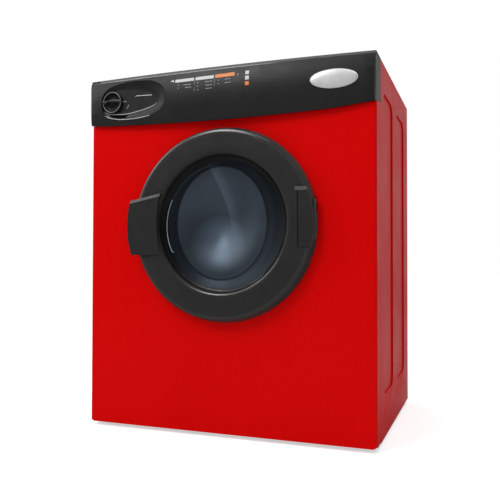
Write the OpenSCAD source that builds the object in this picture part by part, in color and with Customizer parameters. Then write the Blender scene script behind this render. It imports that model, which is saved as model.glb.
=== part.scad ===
// Compact front-loading vented tumble dryer.
// The origin is the centre of the overall box, on the floor. +Z is up and -Y faces the user.
// Every sub-part is drawn with x from the middle, y from the front face and z from the skirt's lower edge.

/* [Cabinet] */
// Width over the side panels
body_w = 595; // [585:1:640]
// Depth from the front face to the rear face
body_d = 460; // [455:1:500]
// Height from the skirt to the top
body_h = 710; // [700:1:760]
// Height of the skirt above the floor
skirt_lift = 8; // [6:1:12]
// Thickness of the painted steel sheet
sheet = 0.8; // [0.7:0.1:1.2]
// Radius of the front panel's upright corners
corner_r = 9; // [6:1:14]
// Depth that the front panel and fascia wrap round the sides
wrap_d = 48; // [40:1:54]
// Width of the folds along the hidden panel edges
fold_w = 16; // [12:1:20]
// Depth of the pressed panels in the sides
emboss_t = 3; // [2:0.5:4]
// Corner radius of the pressed panels
emboss_r = 25; // [15:1:30]

/* [Fascia] */
// Height of the fascia at its middle
fascia_h = 103.5; // [98:0.5:108]
// Rise of the fascia's lower edge from middle to sides
fascia_sag = 9; // [4:1:12]
// How far the fascia stands out at mid height
fascia_bulge = 13; // [9:1:16]
// How far the fascia stands out at its top and bottom edges
fascia_edge = 3; // [2:0.5:4]
// Wall of the fascia moulding
fascia_t = 2.5; // [2:0.1:3]

/* [Dial] */
// Distance of the knob's axis in from the left side
knob_in = 55.5; // [51.5:0.5:61.5]
// Distance of the knob's axis below the top
knob_drop = 50; // [46:1:54]
// Radius of the timer knob
knob_r = 22; // [18:1:24]
// How far the knob stands out of the dial's floor
knob_len = 16; // [12:1:18]
// Half width of the dial recess
pod_a = 76; // [70:1:78]
// Half height of the dial recess
pod_b = 39.5; // [36:0.5:41]
// Radius of the timer's spindle
spindle_r = 3; // [2.5:0.1:4]
// Side of the square timer body
timer_w = 58; // [50:1:60]
// Depth of the timer body
timer_d = 36; // [30:1:40]
// Width of the oval badge plate
badge_w = 90; // [80:1:96]
// Height of the oval badge plate
badge_h = 36; // [30:1:40]
// Distance of the badge's middle in from the right side
badge_in = 74; // [71:0.5:82]

/* [Door] */
// Height of the door's middle above the skirt
door_z = 403.5; // [398:0.5:408]
// Outer radius of the door ring at the front panel
door_r = 190; // [186:1:194]
// How far the ring stands out
door_proud = 28.5; // [25:0.5:31]
// Width of the ring's rounded shoulder
shoulder_w = 24; // [18:1:28]
// Radius of the window opening
window_r = 134; // [128:1:136]
// Wall of the door mouldings
door_t = 3; // [2.5:0.1:3.5]
// Thickness of the glass
glass_t = 4; // [3:0.5:5]
// Radius where the bowl's slope meets its dish
dish_r = 106; // [95:1:110]
// Depth of the dish's rim behind the front face
dish_y = 20; // [14:1:22]
// Further depth of the dish at its middle
dish_sag = 8; // [4:1:10]
// How far the handle stands out
handle_proud = 38; // [35:0.5:42]
// Outer radius of the handle's edge
handle_r = 191; // [189:1:195]
// Height of the handle
handle_h = 112; // [100:1:120]
// Depth of the finger pocket behind the handle, along the radius
pocket_d = 21; // [18:1:22]
// Height of the finger pocket
pocket_h = 88; // [80:1:92]
// Gap between the closed door and the front panel
door_gap = 1; // [0.8:0.1:1.5]

/* [Hinge] */
// Distance of the hinge axis right of the middle
hinge_x = 188; // [187:0.5:190]
// Distance of the hinge axis in front of the front panel
hinge_y = 14; // [13.5:0.5:16]
// Height of the hinge's middle above the door's middle
hinge_rise = 7; // [0:1:8]
// Length of the hinge
hinge_h = 114; // [100:1:118]
// Outer radius of the hinge's knuckles
knuckle_r = 7; // [6:0.5:7.5]
// Radius of the hinge pin
pin_r = 2.5; // [2:0.1:3]
// Running clearance of pins and shafts, on the radius
run_gap = 0.05; // [0.03:0.01:0.08]

/* [Drum] */
// Outer radius of the drum
drum_r = 262; // [250:1:268]
// Thickness of the drum's sheet
drum_t = 1; // [0.8:0.1:1.4]
// Radius of the loading mouth
mouth_r = 150; // [148:0.5:152]
// Depth of the front bulkhead's face behind the front panel
bulk_y = 56; // [54:1:58]
// Gap between the front bulkhead and the drum
drum_gap_front = 25; // [22:1:30]
// Gap between the drum and the rear bulkhead
drum_gap_rear = 11; // [9:1:14]
// Distance of the rear bulkhead from the rear face
rear_chamber = 36; // [34:1:40]
// Thickness of the bulkheads
bulk_t = 1.2; // [1:0.1:2]
// Outer radius of the collar that carries the drum's neck
collar_r = 170; // [168:1:174]
// Thickness of the felt on the collar
felt_t = 3; // [2:0.5:4]
// Radius of the rear shaft
shaft_r = 10; // [8:0.5:12]
// Number of lifters
lifter_count = 3; // [2:1:4]
// Height of the lifters
lifter_h = 42; // [30:1:50]
// Clearance kept by soft and rubbing parts
soft_gap = 0.3; // [0.2:0.05:0.4]

/* [Drive and air] */
// Outer radius of the fan housing
fan_r = 84; // [78:1:86]
// Depth of the fan housing
fan_d = 60; // [50:1:64]
// Radius of the fan wheel
wheel_r = 72; // [60:1:74]
// Number of fan blades
blade_count = 16; // [12:1:24]
// Radius of the motor
motor_r = 52; // [45:1:54]
// Length of the motor
motor_len = 115; // [100:1:120]
// Radius of the motor shaft
axle_r = 6; // [5:0.5:7]
// Groove radius of the motor pulley
pulley_r = 9; // [8:0.5:12]
// Distance of the belt behind the front face
belt_y = 280; // [278:1:290]
// Width of the belt
belt_w = 9; // [7:0.5:10]
// Thickness of the belt
belt_t = 2.4; // [2:0.1:3]
// Radius of the jockey wheel
jockey_r = 20; // [18:0.5:22]
// Wall of the plastic ducts
duct_t = 2; // [1.5:0.1:2.5]
// Width of the lint filter
filter_w = 196; // [180:1:200]
// Thickness of the lint filter
filter_t = 14; // [12:1:15]
// Outer radius of the exhaust collar
spout_r = 50; // [48:1:51]
// Length of the exhaust collar behind the rear face
spout_len = 45; // [35:1:60]

/* [Feet] */
// Radius of a foot's pad
pad_r = 16; // [13:0.5:18]
// Radius of a foot's screw
stem_r = 4; // [3:0.5:5]
// Length of a foot's screw
stem_len = 22; // [20:1:23]
// Distance of the feet in from the sides
foot_in = 52; // [46:1:60]

/* [Hidden] */

round_fn = 96;
eps = 1;

// Cabinet
half_w = body_w / 2;
inner_w = half_w - sheet;
front_y = (handle_proud - spout_len - body_d) / 2;
fascia_low = body_h - fascia_h;
fascia_side_low = fascia_low + fascia_sag;
seam = 0.4;
pan_t = 1.2;
pan_top = sheet + pan_t;
pan_front = corner_r + 2;
pan_back = body_d - 2 * sheet;
emboss_low = 80;
emboss_high = fascia_side_low + 41;
emboss_1 = [75, 205];
emboss_2 = [255, 388];
tongue_x = half_w - corner_r - 2;
tongue_top = body_h - 14;

// Fascia curve
fascia_step = fascia_bulge - fascia_edge;
fascia_r = (pow(fascia_h / 2, 2) + fascia_step * fascia_step) / (2 * fascia_step);
fascia_mid = body_h - fascia_h / 2;
sag_r = (half_w * half_w + fascia_sag * fascia_sag) / (2 * fascia_sag);

// Dial
knob_z = body_h - knob_drop;
knob_x = half_w - knob_in;
badge_x = half_w - badge_in;
pod_shift = 51;
pod_x = pod_shift - knob_x;
dial_floor = 2;
dial_wall = 2;
timer_front = 4;
knob_front = -knob_len;
badge_z = knob_z + 3.5;
lens_x = pod_x - 33;
lens_z = knob_z - 27;
lens_w = 36;
lens_h = 6;
lens_t = 2;

// Door
back_t = 5;
lip_t = 1.5;
glass_seat = 10;
glass_rim_t = glass_seat - door_gap - back_t;
glass_rim_r = window_r + 8;
face_in = window_r + 7;
pocket_r = door_r - pocket_d;
strike_r = mouth_r + 11.5;
strike_w = 5;
strike_h = 14;
strike_len = 26;
seal_r = mouth_r + 4;
seal_w = 5.4;
seal_d = 3.5;
spigot_out = mouth_r - 6;
spigot_len = 14;
screw_ring = (door_r + window_r) / 2 + 9;
screw_angles = [45, 90, 135, 225, 270, 315];
boss_r = 5;
screw_r = 1.6;
head_r = 3.5;

// Hinge
hinge_z = door_z + hinge_rise;
hinge_low = hinge_z - hinge_h / 2;
hinge_high = hinge_z + hinge_h / 2;
notch_x = hinge_x - 36;
slit_x = notch_x + 8;
back_notch_x = slit_x + 4;
block_x = hinge_x - knuckle_r - 1;
knuckle_end = hinge_h * 0.18;
knuckle_gap = 0.4;
block_proud = door_proud - 4;

// Drum
drum_front_y = bulk_y + drum_gap_front;
drum_back_y = body_d - rear_chamber - drum_gap_rear;
neck_r = collar_r + felt_t + soft_gap;
neck_y = bulk_y + 9;
collar_end = drum_front_y - 4;
rear_plate_y = body_d - rear_chamber;
bearing_r = shaft_r + 12;
bearing_y = rear_plate_y - 5;
bearing_len = 20;
lifter_front = drum_front_y + 18;
lifter_back = drum_back_y - 14;
bulk_low = 190;
bulk_high = body_h - 16;

// Drive
motor_x = inner_w - 17 - fan_r;
motor_z = pan_top + 8 + fan_r;
motor_y = bulk_y + fan_d + 24;
motor_end = motor_y + motor_len;
fan_back = bulk_y + fan_d;
wheel_front = bulk_y + 8;
wheel_back = fan_back - 10;
pulley_w = belt_w + 7;
pulley_front = belt_y - pulley_w / 2;
jockey_x = motor_x - 70;
jockey_z = motor_z - 5;
pivot_x = motor_x - 36;
pivot_z = motor_z - 52;
pivot_r = 5;
arm_t = 4;
arm_y = motor_end + 8;
bracket_t = 3;
lug_y = arm_y - bracket_t - 0.5;
arm_w = 8;

// Ducts
inlet_r = 45;
duct_front = bulk_y - 26;
filter_y = bulk_y - 13;
filter_low = 150;
filter_window_high = door_z - mouth_r - 14;
filter_slot = filter_t / 2 + soft_gap;
duct_x = filter_w / 2 + soft_gap;
duct_low = motor_z - inlet_r - 5;
duct_floor_drop = 14;
duct_turn = 40;
rib_half = 4;
rib_drop = 6;
duct_high = door_z - sqrt(mouth_r * mouth_r - filter_w * filter_w / 4) + 4;
exhaust_x = -20;
exhaust_w = 2 * spout_r + 4;
exhaust_low = pan_top + 4;
exhaust_high = exhaust_low + 2 * spout_r + 2;
exhaust_z = (exhaust_low + exhaust_high) / 2;
outlet_high = exhaust_low + 76;
flange_r = spout_r + 12;
flange_t = 2;

// Heater
heater_rise = 140;
heater_h = 86;
heater_low = door_z + heater_rise;
heater_high = heater_low + heater_h;
heater_x = 150;
heater_back = body_d - sheet - 2;
rod_r = 3;
rod_pitch = 14;
rod_count = 5;
rod_y = rear_plate_y + bulk_t + 14;
rod_low = heater_low + 15;
rod_x = 118;
air_holes = 7;
air_ring = 184;
slot_w = 8;
slot_h = 28;
slot_in = 8;
slot_pitch = 26;
slot_row = 38;
slot_each_side = 5;
stat_x = 60;
stat_y = 15;
stat_r = 9;
stat_h = 8;

// Feet
foot_front_y = 62;
foot_rear_y = 52;
foot_neck_r = 8;
foot_neck_h = 2.5;
foot_boss_r = 9;
foot_boss_h = 17;

// Rear panel details
vent_count = 6;
vent_in = 60;
vent_pitch = 22;
vent_low = 60;
vent_h = 70;
panel_screw_count = 4;
panel_screw_low = 60;
panel_screw_drop = 140;
gland_in = 72.5;
gland_x = gland_in - half_w;
gland_z = 92;
gland_r = 10;
cord_r = 4.2;
gland_len = 12;
cap_r = 18;
cap_len = 70;

function ring_shoulder() = [for (a = [0:10:90])
    [door_r - shoulder_w + shoulder_w * cos(a), -door_gap - (door_proud - door_gap) * sin(a)]];
function ring_hollow() = [for (a = [20:14:76])
    [door_r - shoulder_w + (shoulder_w - door_t) * cos(a),
        -door_gap - (door_proud - door_gap - door_t) * sin(a)]];
function superellipse(a, b, n) = [for (t = [0:6:354])
    [a * sign(cos(t)) * pow(abs(cos(t)), 2 / n), b * sign(sin(t)) * pow(abs(sin(t)), 2 / n)]];
function egg(grow) = [for (p = superellipse(pod_a + grow, pod_b + grow, 2.5))
    [p[0], p[1] + 0.05 * p[0] * (p[1] < 0 ? 1 : 0) * -p[1] / pod_b]];
function ellipse(a, b) = [for (t = [0:5:355]) [a * cos(t), b * sin(t)]];

// Puts the cabinet's own frame on the floor
module place() translate([0, front_y, skirt_lift]) children();

// Cylinder along Y
module rod_y(x, z, y0, y1, r) {
    translate([x, y0, z]) rotate([-90, 0, 0]) cylinder(r = r, h = y1 - y0, $fn = round_fn);
}

// Cylinder along Z
module rod_z(x, y, z0, z1, r) {
    translate([x, y, z0]) cylinder(r = r, h = z1 - z0, $fn = round_fn);
}

// Profile of [radius, y] turned about an axis along Y
module turned(x, z) {
    translate([x, 0, z]) rotate([-90, 0, 0]) rotate_extrude($fn = round_fn) children();
}

// Outline in x and z, from y0 to y1
module slab_y(y0, y1) {
    translate([0, y1, 0]) rotate([90, 0, 0]) linear_extrude(y1 - y0) children();
}

// Outline in y and z, from x0 to x1
module slab_x(x0, x1) {
    translate([x0, 0, 0]) rotate([90, 0, 90]) linear_extrude(x1 - x0) children();
}

// Box from its low corner to its high corner
module block(low, high) {
    translate(low) cube(high - low);
}

module round_rect(w, h, r) {
    square([w - 2 * r, h], center = true);
    square([w, h - 2 * r], center = true);
    for (sx = [-1, 1], sz = [-1, 1])
        translate([sx * (w / 2 - r), sz * (h / 2 - r)]) circle(r, $fn = 48);
}

// Plan of the cabinet's front, rounded at its upright corners
module front_plan(inset, lead, depth) {
    r = corner_r - inset;
    translate([-half_w + inset, corner_r - lead]) square([body_w - 2 * inset, depth + lead - corner_r]);
    translate([-half_w + corner_r, inset - lead]) square([body_w - 2 * corner_r, corner_r]);
    for (s = [-1, 1])
        translate([s * (half_w - corner_r), corner_r - lead]) circle(r, $fn = 64);
}

// Rear screws sit in the side folds
module at_panel_screws() {
    pitch = (body_h - panel_screw_low - panel_screw_drop) / (panel_screw_count - 1);
    for (s = [-1, 1], i = [0:panel_screw_count - 1])
        translate([s * (inner_w - fold_w / 2), 0, panel_screw_low + i * pitch]) children();
}

// Air intake behind the heater
module intake_slots(y0, y1) {
    for (i = [-slot_each_side:slot_each_side], row = [0:1])
        block([i * slot_pitch - slot_w / 2, y0, heater_low + slot_in + row * slot_row],
            [i * slot_pitch + slot_w / 2, y1, heater_low + slot_in + slot_h + row * slot_row]);
}

module pressed_outline(span, grow) {
    translate([(span[0] + span[1]) / 2, (emboss_low + emboss_high) / 2])
        round_rect(span[1] - span[0] + 2 * grow, emboss_high - emboss_low + 2 * grow, emboss_r + grow);
}

// The right side panel; the left one is its mirror image
module side_panel_shape() {
    top = body_h - sheet;
    difference() {
        union() {
            block([inner_w, wrap_d + seam, 0], [half_w, body_d, top]);
            // joggled edge behind the front panel's return
            block([inner_w - sheet, wrap_d - 12, 22], [inner_w, wrap_d + 8, fascia_low - 10]);
            // folds at the bottom, top and rear
            block([inner_w - fold_w, wrap_d + 10, 0], [inner_w, body_d - sheet, sheet]);
            block([inner_w - fold_w, wrap_d + 10, top - sheet], [inner_w, body_d - 2 * sheet, top]);
            block([inner_w - fold_w, body_d - 2 * sheet, sheet], [inner_w, body_d - sheet, top]);
            for (span = [emboss_1, emboss_2])
                slab_x(inner_w - emboss_t, inner_w) pressed_outline(span, 0);
        }
        for (span = [emboss_1, emboss_2])
            slab_x(half_w - emboss_t, half_w + eps) pressed_outline(span, -sheet);
        at_panel_screws() rod_y(0, 0, body_d - 3 * sheet, body_d, 2);
    }
}

module side_panel_left() {
    color([0.78, 0.04, 0.04]) place() mirror([1, 0, 0]) side_panel_shape();
}

module side_panel_right() {
    color([0.78, 0.04, 0.04]) place() side_panel_shape();
}

module front_panel() {
    high = fascia_side_low - 0.3;
    color([0.8, 0.03, 0.03]) place() difference() {
        union() {
            linear_extrude(high) difference() {
                front_plan(0, 0, wrap_d);
                front_plan(sheet, 0, wrap_d + eps);
            }
            block([-tongue_x, 0, high - eps], [tongue_x, sheet, tongue_top]);
            // fold along the skirt
            block([-tongue_x, sheet, 0], [tongue_x, pan_front, sheet]);
        }
        rod_y(0, door_z, -eps, 2 * sheet, mouth_r);
        // slot for the door's strike
        block([-strike_r - 3.5, -eps, door_z - 10], [-strike_r + 3.5, 2 * sheet, door_z + 10]);
        // opening behind the dial
        block([pod_x - pod_a - 3, -eps, knob_z - pod_b - 3], [pod_x + pod_a + 3, 2 * sheet,
            tongue_top + eps]);
    }
}

module top_panel() {
    low = body_h - sheet;
    color([0.78, 0.04, 0.04]) place() {
        block([-half_w, wrap_d + seam + 2, low], [half_w, body_d, body_h]);
        block([-inner_w + fold_w + 2, body_d - 2 * sheet, low - 20],
            [inner_w - fold_w - 2, body_d - sheet, low]);
    }
}

module rear_panel() {
    high = body_h - sheet;
    color([0.72, 0.73, 0.74]) place() difference() {
        block([-inner_w, body_d - sheet, sheet], [inner_w, body_d, high]);
        rod_y(exhaust_x, exhaust_z, body_d - 2 * sheet, body_d + eps, spout_r - duct_t);
        rod_y(gland_x, gland_z, body_d - 2 * sheet, body_d + eps, gland_r - 2);
        at_panel_screws() rod_y(0, 0, body_d - 3 * sheet, body_d + eps, 2);
        intake_slots(body_d - 2 * sheet, body_d + eps);
        // cooling slots beside the motor
        for (i = [0:vent_count - 1])
            block([motor_x - vent_in + i * vent_pitch, body_d - 2 * sheet, vent_low],
                [motor_x - vent_in + i * vent_pitch + slot_w, body_d + eps, vent_low + vent_h]);
    }
}

function foot_places() = [
    [-half_w + foot_in, foot_front_y], [half_w - foot_in, foot_front_y],
    [-half_w + foot_in, body_d - foot_rear_y], [half_w - foot_in, body_d - foot_rear_y]];

module base_pan() {
    color([0.62, 0.63, 0.65]) place() difference() {
        union() {
            block([-inner_w, pan_front, sheet], [inner_w, pan_back, pan_top]);
            // upturned edges
            for (s = [-1, 1])
                translate([s * (inner_w - sheet - pan_t / 2), (wrap_d + 12 + pan_back) / 2, pan_top + 9])
                    cube([pan_t, pan_back - wrap_d - 12, 18], center = true);
            // screwed bosses of the feet
            for (p = foot_places()) rod_z(p[0], p[1], pan_top, pan_top + foot_boss_h, foot_boss_r);
        }
        for (p = foot_places()) rod_z(p[0], p[1], 0, pan_top + foot_boss_h + eps, stem_r + run_gap);
    }
}

// Solid outline of the fascia, its skin set back by inset
module fascia_form(inset) {
    intersection() {
        translate([0, 0, fascia_low + inset]) linear_extrude(fascia_h - 2 * inset)
            front_plan(inset, fascia_bulge, wrap_d);
        translate([-half_w - eps, fascia_r - fascia_bulge, fascia_mid]) rotate([0, 90, 0])
            cylinder(r = fascia_r - inset, h = body_w + 2 * eps, $fn = 240);
        fascia_lower_curve(fascia_low + inset + sag_r, sag_r);
    }
}

// The very large cylinder that curves the fascia's lower edge
module fascia_lower_curve(z, r) {
    translate([0, -fascia_bulge - eps, z]) rotate([-90, 0, 0])
        cylinder(r = r, h = wrap_d + fascia_bulge + 2 * eps, $fn = 1200);
}

module fascia() {
    color([0.16, 0.16, 0.17]) place() difference() {
        fascia_form(0);
        fascia_form(fascia_t);
        // open behind, round the front panel
        block([-half_w + fascia_t, 0, fascia_low - eps], [half_w - fascia_t, wrap_d + eps,
            body_h - fascia_t]);
        slab_y(-fascia_bulge - eps, wrap_d) translate([pod_x, knob_z]) polygon(egg(0));
    }
}

module dial_panel() {
    color([0.13, 0.13, 0.14]) place() difference() {
        intersection() {
            slab_y(-fascia_bulge, dial_floor) translate([pod_x, knob_z]) polygon(egg(0));
            translate([-half_w, fascia_r - fascia_bulge, fascia_mid]) rotate([0, 90, 0])
                cylinder(r = fascia_r, h = body_w, $fn = 240);
        }
        slab_y(-fascia_bulge - eps, 0) translate([pod_x, knob_z]) polygon(egg(-dial_wall));
        rod_y(-knob_x, knob_z, -eps, dial_floor + eps, spindle_r + 1);
    }
}

module pilot_lens() {
    color([0.1, 0.1, 0.12, 0.9]) place()
        block([lens_x - lens_w / 2, -lens_t, lens_z - lens_h / 2], [lens_x + lens_w / 2, 0,
            lens_z + lens_h / 2]);
}

module badge_plate() {
    color([0.82, 0.83, 0.84]) place() intersection() {
        slab_y(-fascia_bulge - 3, 0) translate([badge_x, badge_z]) polygon(ellipse(badge_w / 2,
            badge_h / 2));
        difference() {
            translate([0, fascia_r - fascia_bulge, fascia_mid]) rotate([0, 90, 0])
                cylinder(r = fascia_r + 1.2, h = half_w, $fn = 240);
            translate([-eps, fascia_r - fascia_bulge, fascia_mid]) rotate([0, 90, 0])
                cylinder(r = fascia_r, h = half_w + 2 * eps, $fn = 240);
        }
    }
}

module timer_body() {
    color([0.85, 0.85, 0.82]) place() difference() {
        union() {
            block([-knob_x - timer_w / 2, timer_front, knob_z - timer_w / 2],
                [-knob_x + timer_w / 2, timer_front + timer_d, knob_z + timer_w / 2]);
            // boss that meets the dial panel
            rod_y(-knob_x, knob_z, dial_floor, timer_front, 9);
        }
        rod_y(-knob_x, knob_z, 0, timer_front + timer_d - 6, spindle_r + run_gap);
    }
}

module timer_spindle() {
    color([0.75, 0.75, 0.77]) place()
        rod_y(-knob_x, knob_z, knob_front + 4, timer_front + timer_d - 7, spindle_r);
}

module timer_knob() {
    skirt_y = -1;
    color([0.15, 0.15, 0.16]) place() difference() {
        union() {
            turned(-knob_x, knob_z) polygon([[0, skirt_y], [knob_r, skirt_y], [knob_r, skirt_y - 3],
                [knob_r - 1.5, knob_front + 5], [knob_r - 3, knob_front + 4], [0, knob_front + 4]]);
            // bar that the fingers turn
            block([-knob_x - knob_r + 3, knob_front, knob_z - 4],
                [-knob_x + knob_r - 3, knob_front + 5, knob_z + 4]);
        }
        rod_y(-knob_x, knob_z, knob_front + 4, 0, spindle_r);
    }
}

// Throat from the front panel to the bulkhead
module mouth_throat() {
    color([0.7, 0.71, 0.72]) place() difference() {
        turned(0, door_z) polygon([[mouth_r, sheet], [mouth_r + bulk_t, sheet],
            [mouth_r + bulk_t, bulk_y], [mouth_r, bulk_y]]);
        // slot for the lint filter
        block([-duct_x, filter_y - filter_slot, door_z - mouth_r - 6],
            [duct_x, filter_y + filter_slot, door_z - filter_w / 2 + 8]);
    }
}

module front_bulkhead() {
    color([0.7, 0.71, 0.72]) place() slab_y(bulk_y, bulk_y + bulk_t) difference() {
        translate([-inner_w, bulk_low]) square([2 * inner_w, bulk_high - bulk_low]);
        translate([0, door_z]) circle(collar_r, $fn = round_fn);
    }
}

// Flanged ring from the mouth to the collar inside the drum's neck
module bulkhead_collar() {
    color([0.7, 0.71, 0.72]) place() turned(0, door_z) polygon([
        [mouth_r, bulk_y], [collar_r, bulk_y], [collar_r, collar_end], [collar_r - bulk_t, collar_end],
        [collar_r - bulk_t, bulk_y + bulk_t], [mouth_r, bulk_y + bulk_t]]);
}

module rear_bulkhead() {
    color([0.7, 0.71, 0.72]) place() slab_y(rear_plate_y, rear_plate_y + bulk_t) difference() {
        translate([-inner_w, bulk_low]) square([2 * inner_w, bulk_high - bulk_low]);
        translate([0, door_z]) circle(bearing_r, $fn = round_fn);
        for (i = [0:air_holes - 1])
            translate([0, door_z]) rotate(60 + i * 60 / (air_holes - 1)) translate([air_ring, 0])
                circle(8, $fn = 32);
    }
}

module felt_seals() {
    color([0.35, 0.33, 0.31]) place() {
        turned(0, door_z) polygon([[collar_r, neck_y], [collar_r + felt_t, neck_y],
            [collar_r + felt_t, collar_end], [collar_r, collar_end]]);
        turned(0, door_z) polygon([[drum_r - 22, drum_back_y + drum_t + soft_gap],
            [drum_r - 12, drum_back_y + drum_t + soft_gap], [drum_r - 12, rear_plate_y], [drum_r - 22,
                rear_plate_y]]);
    }
}

module drum_bearing() {
    color([0.5, 0.51, 0.53]) place() turned(0, door_z) polygon([
        [shaft_r + run_gap, bearing_y], [bearing_r, bearing_y], [bearing_r, rear_plate_y + bulk_t],
        [bearing_r + 14, rear_plate_y + bulk_t], [bearing_r + 14, rear_plate_y + bulk_t + 3],
        [bearing_r, rear_plate_y + bulk_t + 3], [bearing_r, bearing_y + bearing_len],
        [shaft_r + run_gap, bearing_y + bearing_len]]);
}

module heater_housing() {
    front = rear_plate_y + bulk_t;
    color([0.68, 0.69, 0.7]) place() difference() {
        union() {
            difference() {
                block([-heater_x, front, heater_low], [heater_x, heater_back, heater_high]);
                block([-heater_x + sheet, front - eps, heater_low + sheet],
                    [heater_x - sheet, heater_back - sheet, heater_high - sheet]);
            }
            // plates that hold the element
            for (s = [-1, 1])
                translate([s * (rod_x - 12), 0, 0])
                    block([-1, front + 4, heater_low + sheet], [1, heater_back - sheet,
                        heater_high - sheet]);
        }
        for (i = [0:rod_count - 1], s = [-1, 1])
            translate([s * (rod_x - 12) - 2, rod_y, rod_low + i * rod_pitch]) rotate([0, 90, 0])
                cylinder(r = rod_r, h = 4, $fn = 32);
        intake_slots(heater_back - 2 * sheet, heater_back + eps);
    }
}

module heater_element() {
    color([0.45, 0.42, 0.4]) place() {
        union() {
            for (i = [0:rod_count - 1])
                translate([-rod_x, rod_y, rod_low + i * rod_pitch]) rotate([0, 90, 0])
                    cylinder(r = rod_r, h = 2 * rod_x, $fn = 32);
            for (i = [0:rod_count - 2])
                translate([i % 2 == 0 ? rod_x : -rod_x, rod_y, rod_low + (i + 0.5) * rod_pitch])
                    rotate([90, 0, 0]) rotate_extrude(angle = 180, start = i % 2 == 0 ? -90 : 90, $fn = 48)
                        translate([rod_pitch / 2, 0]) circle(rod_r, $fn = 32);
        }
    }
}

module thermostats() {
    color([0.25, 0.22, 0.2]) place() for (s = [-1, 1])
        translate([s * stat_x, rear_plate_y + bulk_t + stat_y, heater_high]) cylinder(r = stat_r,
            h = stat_h, $fn = 48);
}

module motor_body() {
    color([0.42, 0.43, 0.45]) place() difference() {
        union() {
            rod_y(motor_x, motor_z, motor_y + 8, motor_end - 8, motor_r);
            rod_y(motor_x, motor_z, motor_y, motor_end, motor_r - 9);
        }
        rod_y(motor_x, motor_z, motor_y - eps, motor_end + eps, axle_r + run_gap);
    }
}

// One upright of the motor's cradle
module cradle(y) {
    difference() {
        block([motor_x - motor_r - 14, y, pan_top], [motor_x + motor_r + 14, y + bracket_t, motor_z]);
        rod_y(motor_x, motor_z, y - eps, y + bracket_t + eps, motor_r);
    }
}

module motor_bracket() {
    color([0.6, 0.61, 0.63]) place() {
        cradle(motor_y + 14);
        cradle(motor_end - 14 - bracket_t);
        // lug and pivot pin of the tensioner
        block([pivot_x - 14, lug_y, pan_top], [pivot_x + 14, lug_y + bracket_t, pivot_z + 12]);
        rod_y(pivot_x, pivot_z, lug_y + bracket_t, arm_y + arm_t + 13, pivot_r);
    }
}

module fan_housing() {
    color([0.2, 0.2, 0.21]) place() difference() {
        union() {
            rod_y(motor_x, motor_z, bulk_y, fan_back, fan_r);
            block([motor_x - fan_r - 14, bulk_y, exhaust_low], [motor_x, fan_back, outlet_high]);
            // foot on the base pan
            block([motor_x - 30, bulk_y + 10, pan_top], [motor_x + 30, fan_back - 10, exhaust_low + 20]);
        }
        rod_y(motor_x, motor_z, bulk_y + duct_t, fan_back - duct_t, fan_r - duct_t);
        block([motor_x - fan_r - 14 - eps, bulk_y + duct_t, exhaust_low + duct_t],
            [motor_x, fan_back - duct_t, outlet_high - duct_t]);
        rod_y(motor_x, motor_z, bulk_y - eps, bulk_y + 2 * duct_t, inlet_r);
        rod_y(motor_x, motor_z, fan_back - 2 * duct_t, fan_back + eps, axle_r + 3);
    }
}

// Outline of the lint duct, its walls set in by g
module duct_outline(g) {
    left = -duct_x - duct_t + g;
    right = duct_x + duct_t - g;
    end = motor_x + inlet_r + 4 - g;
    polygon([[left, duct_high + 2 * g], [left, filter_low - duct_floor_drop + g],
        [duct_x - 10 + g, duct_low + g], [end, duct_low + g], [end, motor_z + inlet_r + 6 - g],
        [right, filter_low + duct_turn], [right, duct_high + 2 * g]]);
}

module lint_duct() {
    color([0.22, 0.22, 0.23]) place() difference() {
        union() {
            difference() {
                slab_y(duct_front, bulk_y) duct_outline(0);
                slab_y(duct_front + duct_t, bulk_y - duct_t) duct_outline(duct_t);
            }
            // ribs and stops that guide the filter
            for (s = [-1, 1]) {
                x = s * (duct_x - rib_half);
                low = filter_low - rib_drop;
                block([x - rib_half, duct_front + duct_t, low], [x + rib_half, filter_y - filter_slot,
                    duct_high - 4]);
                block([x - rib_half, filter_y + filter_slot, low], [x + rib_half, bulk_y - duct_t,
                    duct_high - 4]);
                block([x - rib_half, duct_front + duct_t, low], [x + rib_half, bulk_y - duct_t,
                    filter_low - soft_gap]);
            }
        }
        rod_y(0, door_z, 0, bulk_y + eps, mouth_r + bulk_t);
        rod_y(motor_x, motor_z, bulk_y - 2 * duct_t, bulk_y + eps, inlet_r);
    }
}

module exhaust_duct() {
    left = exhaust_x - exhaust_w / 2;
    right = exhaust_x + exhaust_w / 2;
    joint_x = motor_x - fan_r - 14;
    back = body_d - sheet;
    color([0.2, 0.2, 0.21]) place() difference() {
        union() {
            block([left, bulk_y, exhaust_low], [right, back, exhaust_high]);
            block([right - eps, bulk_y, exhaust_low], [joint_x, fan_back, outlet_high]);
            // feet on the base pan
            for (y = [bulk_y + 20, back - 60])
                block([exhaust_x - 30, y, pan_top], [exhaust_x + 30, y + 16, exhaust_low + eps]);
        }
        block([left + duct_t, bulk_y + duct_t, exhaust_low + duct_t],
            [right - duct_t, back + eps, exhaust_high - duct_t]);
        block([right - 2 * duct_t, bulk_y + duct_t, exhaust_low + duct_t],
            [joint_x + eps, fan_back - duct_t, outlet_high - duct_t]);
    }
}

module exhaust_collar() {
    color([0.17, 0.17, 0.18]) place() turned(exhaust_x, exhaust_z) polygon([
        [spout_r - duct_t, body_d], [flange_r, body_d], [flange_r, body_d + flange_t],
        [spout_r, body_d + flange_t], [spout_r, body_d + spout_len], [spout_r - duct_t,
            body_d + spout_len]]);
}

module door_catch() {
    x = -strike_r;
    color([0.88, 0.88, 0.86]) place() difference() {
        block([x - 14, sheet, door_z - 22], [x + 7, sheet + 34, door_z + 22]);
        block([x - 4, 0, door_z - 10], [x + 4, sheet + 30, door_z + 10]);
    }
}

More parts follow.
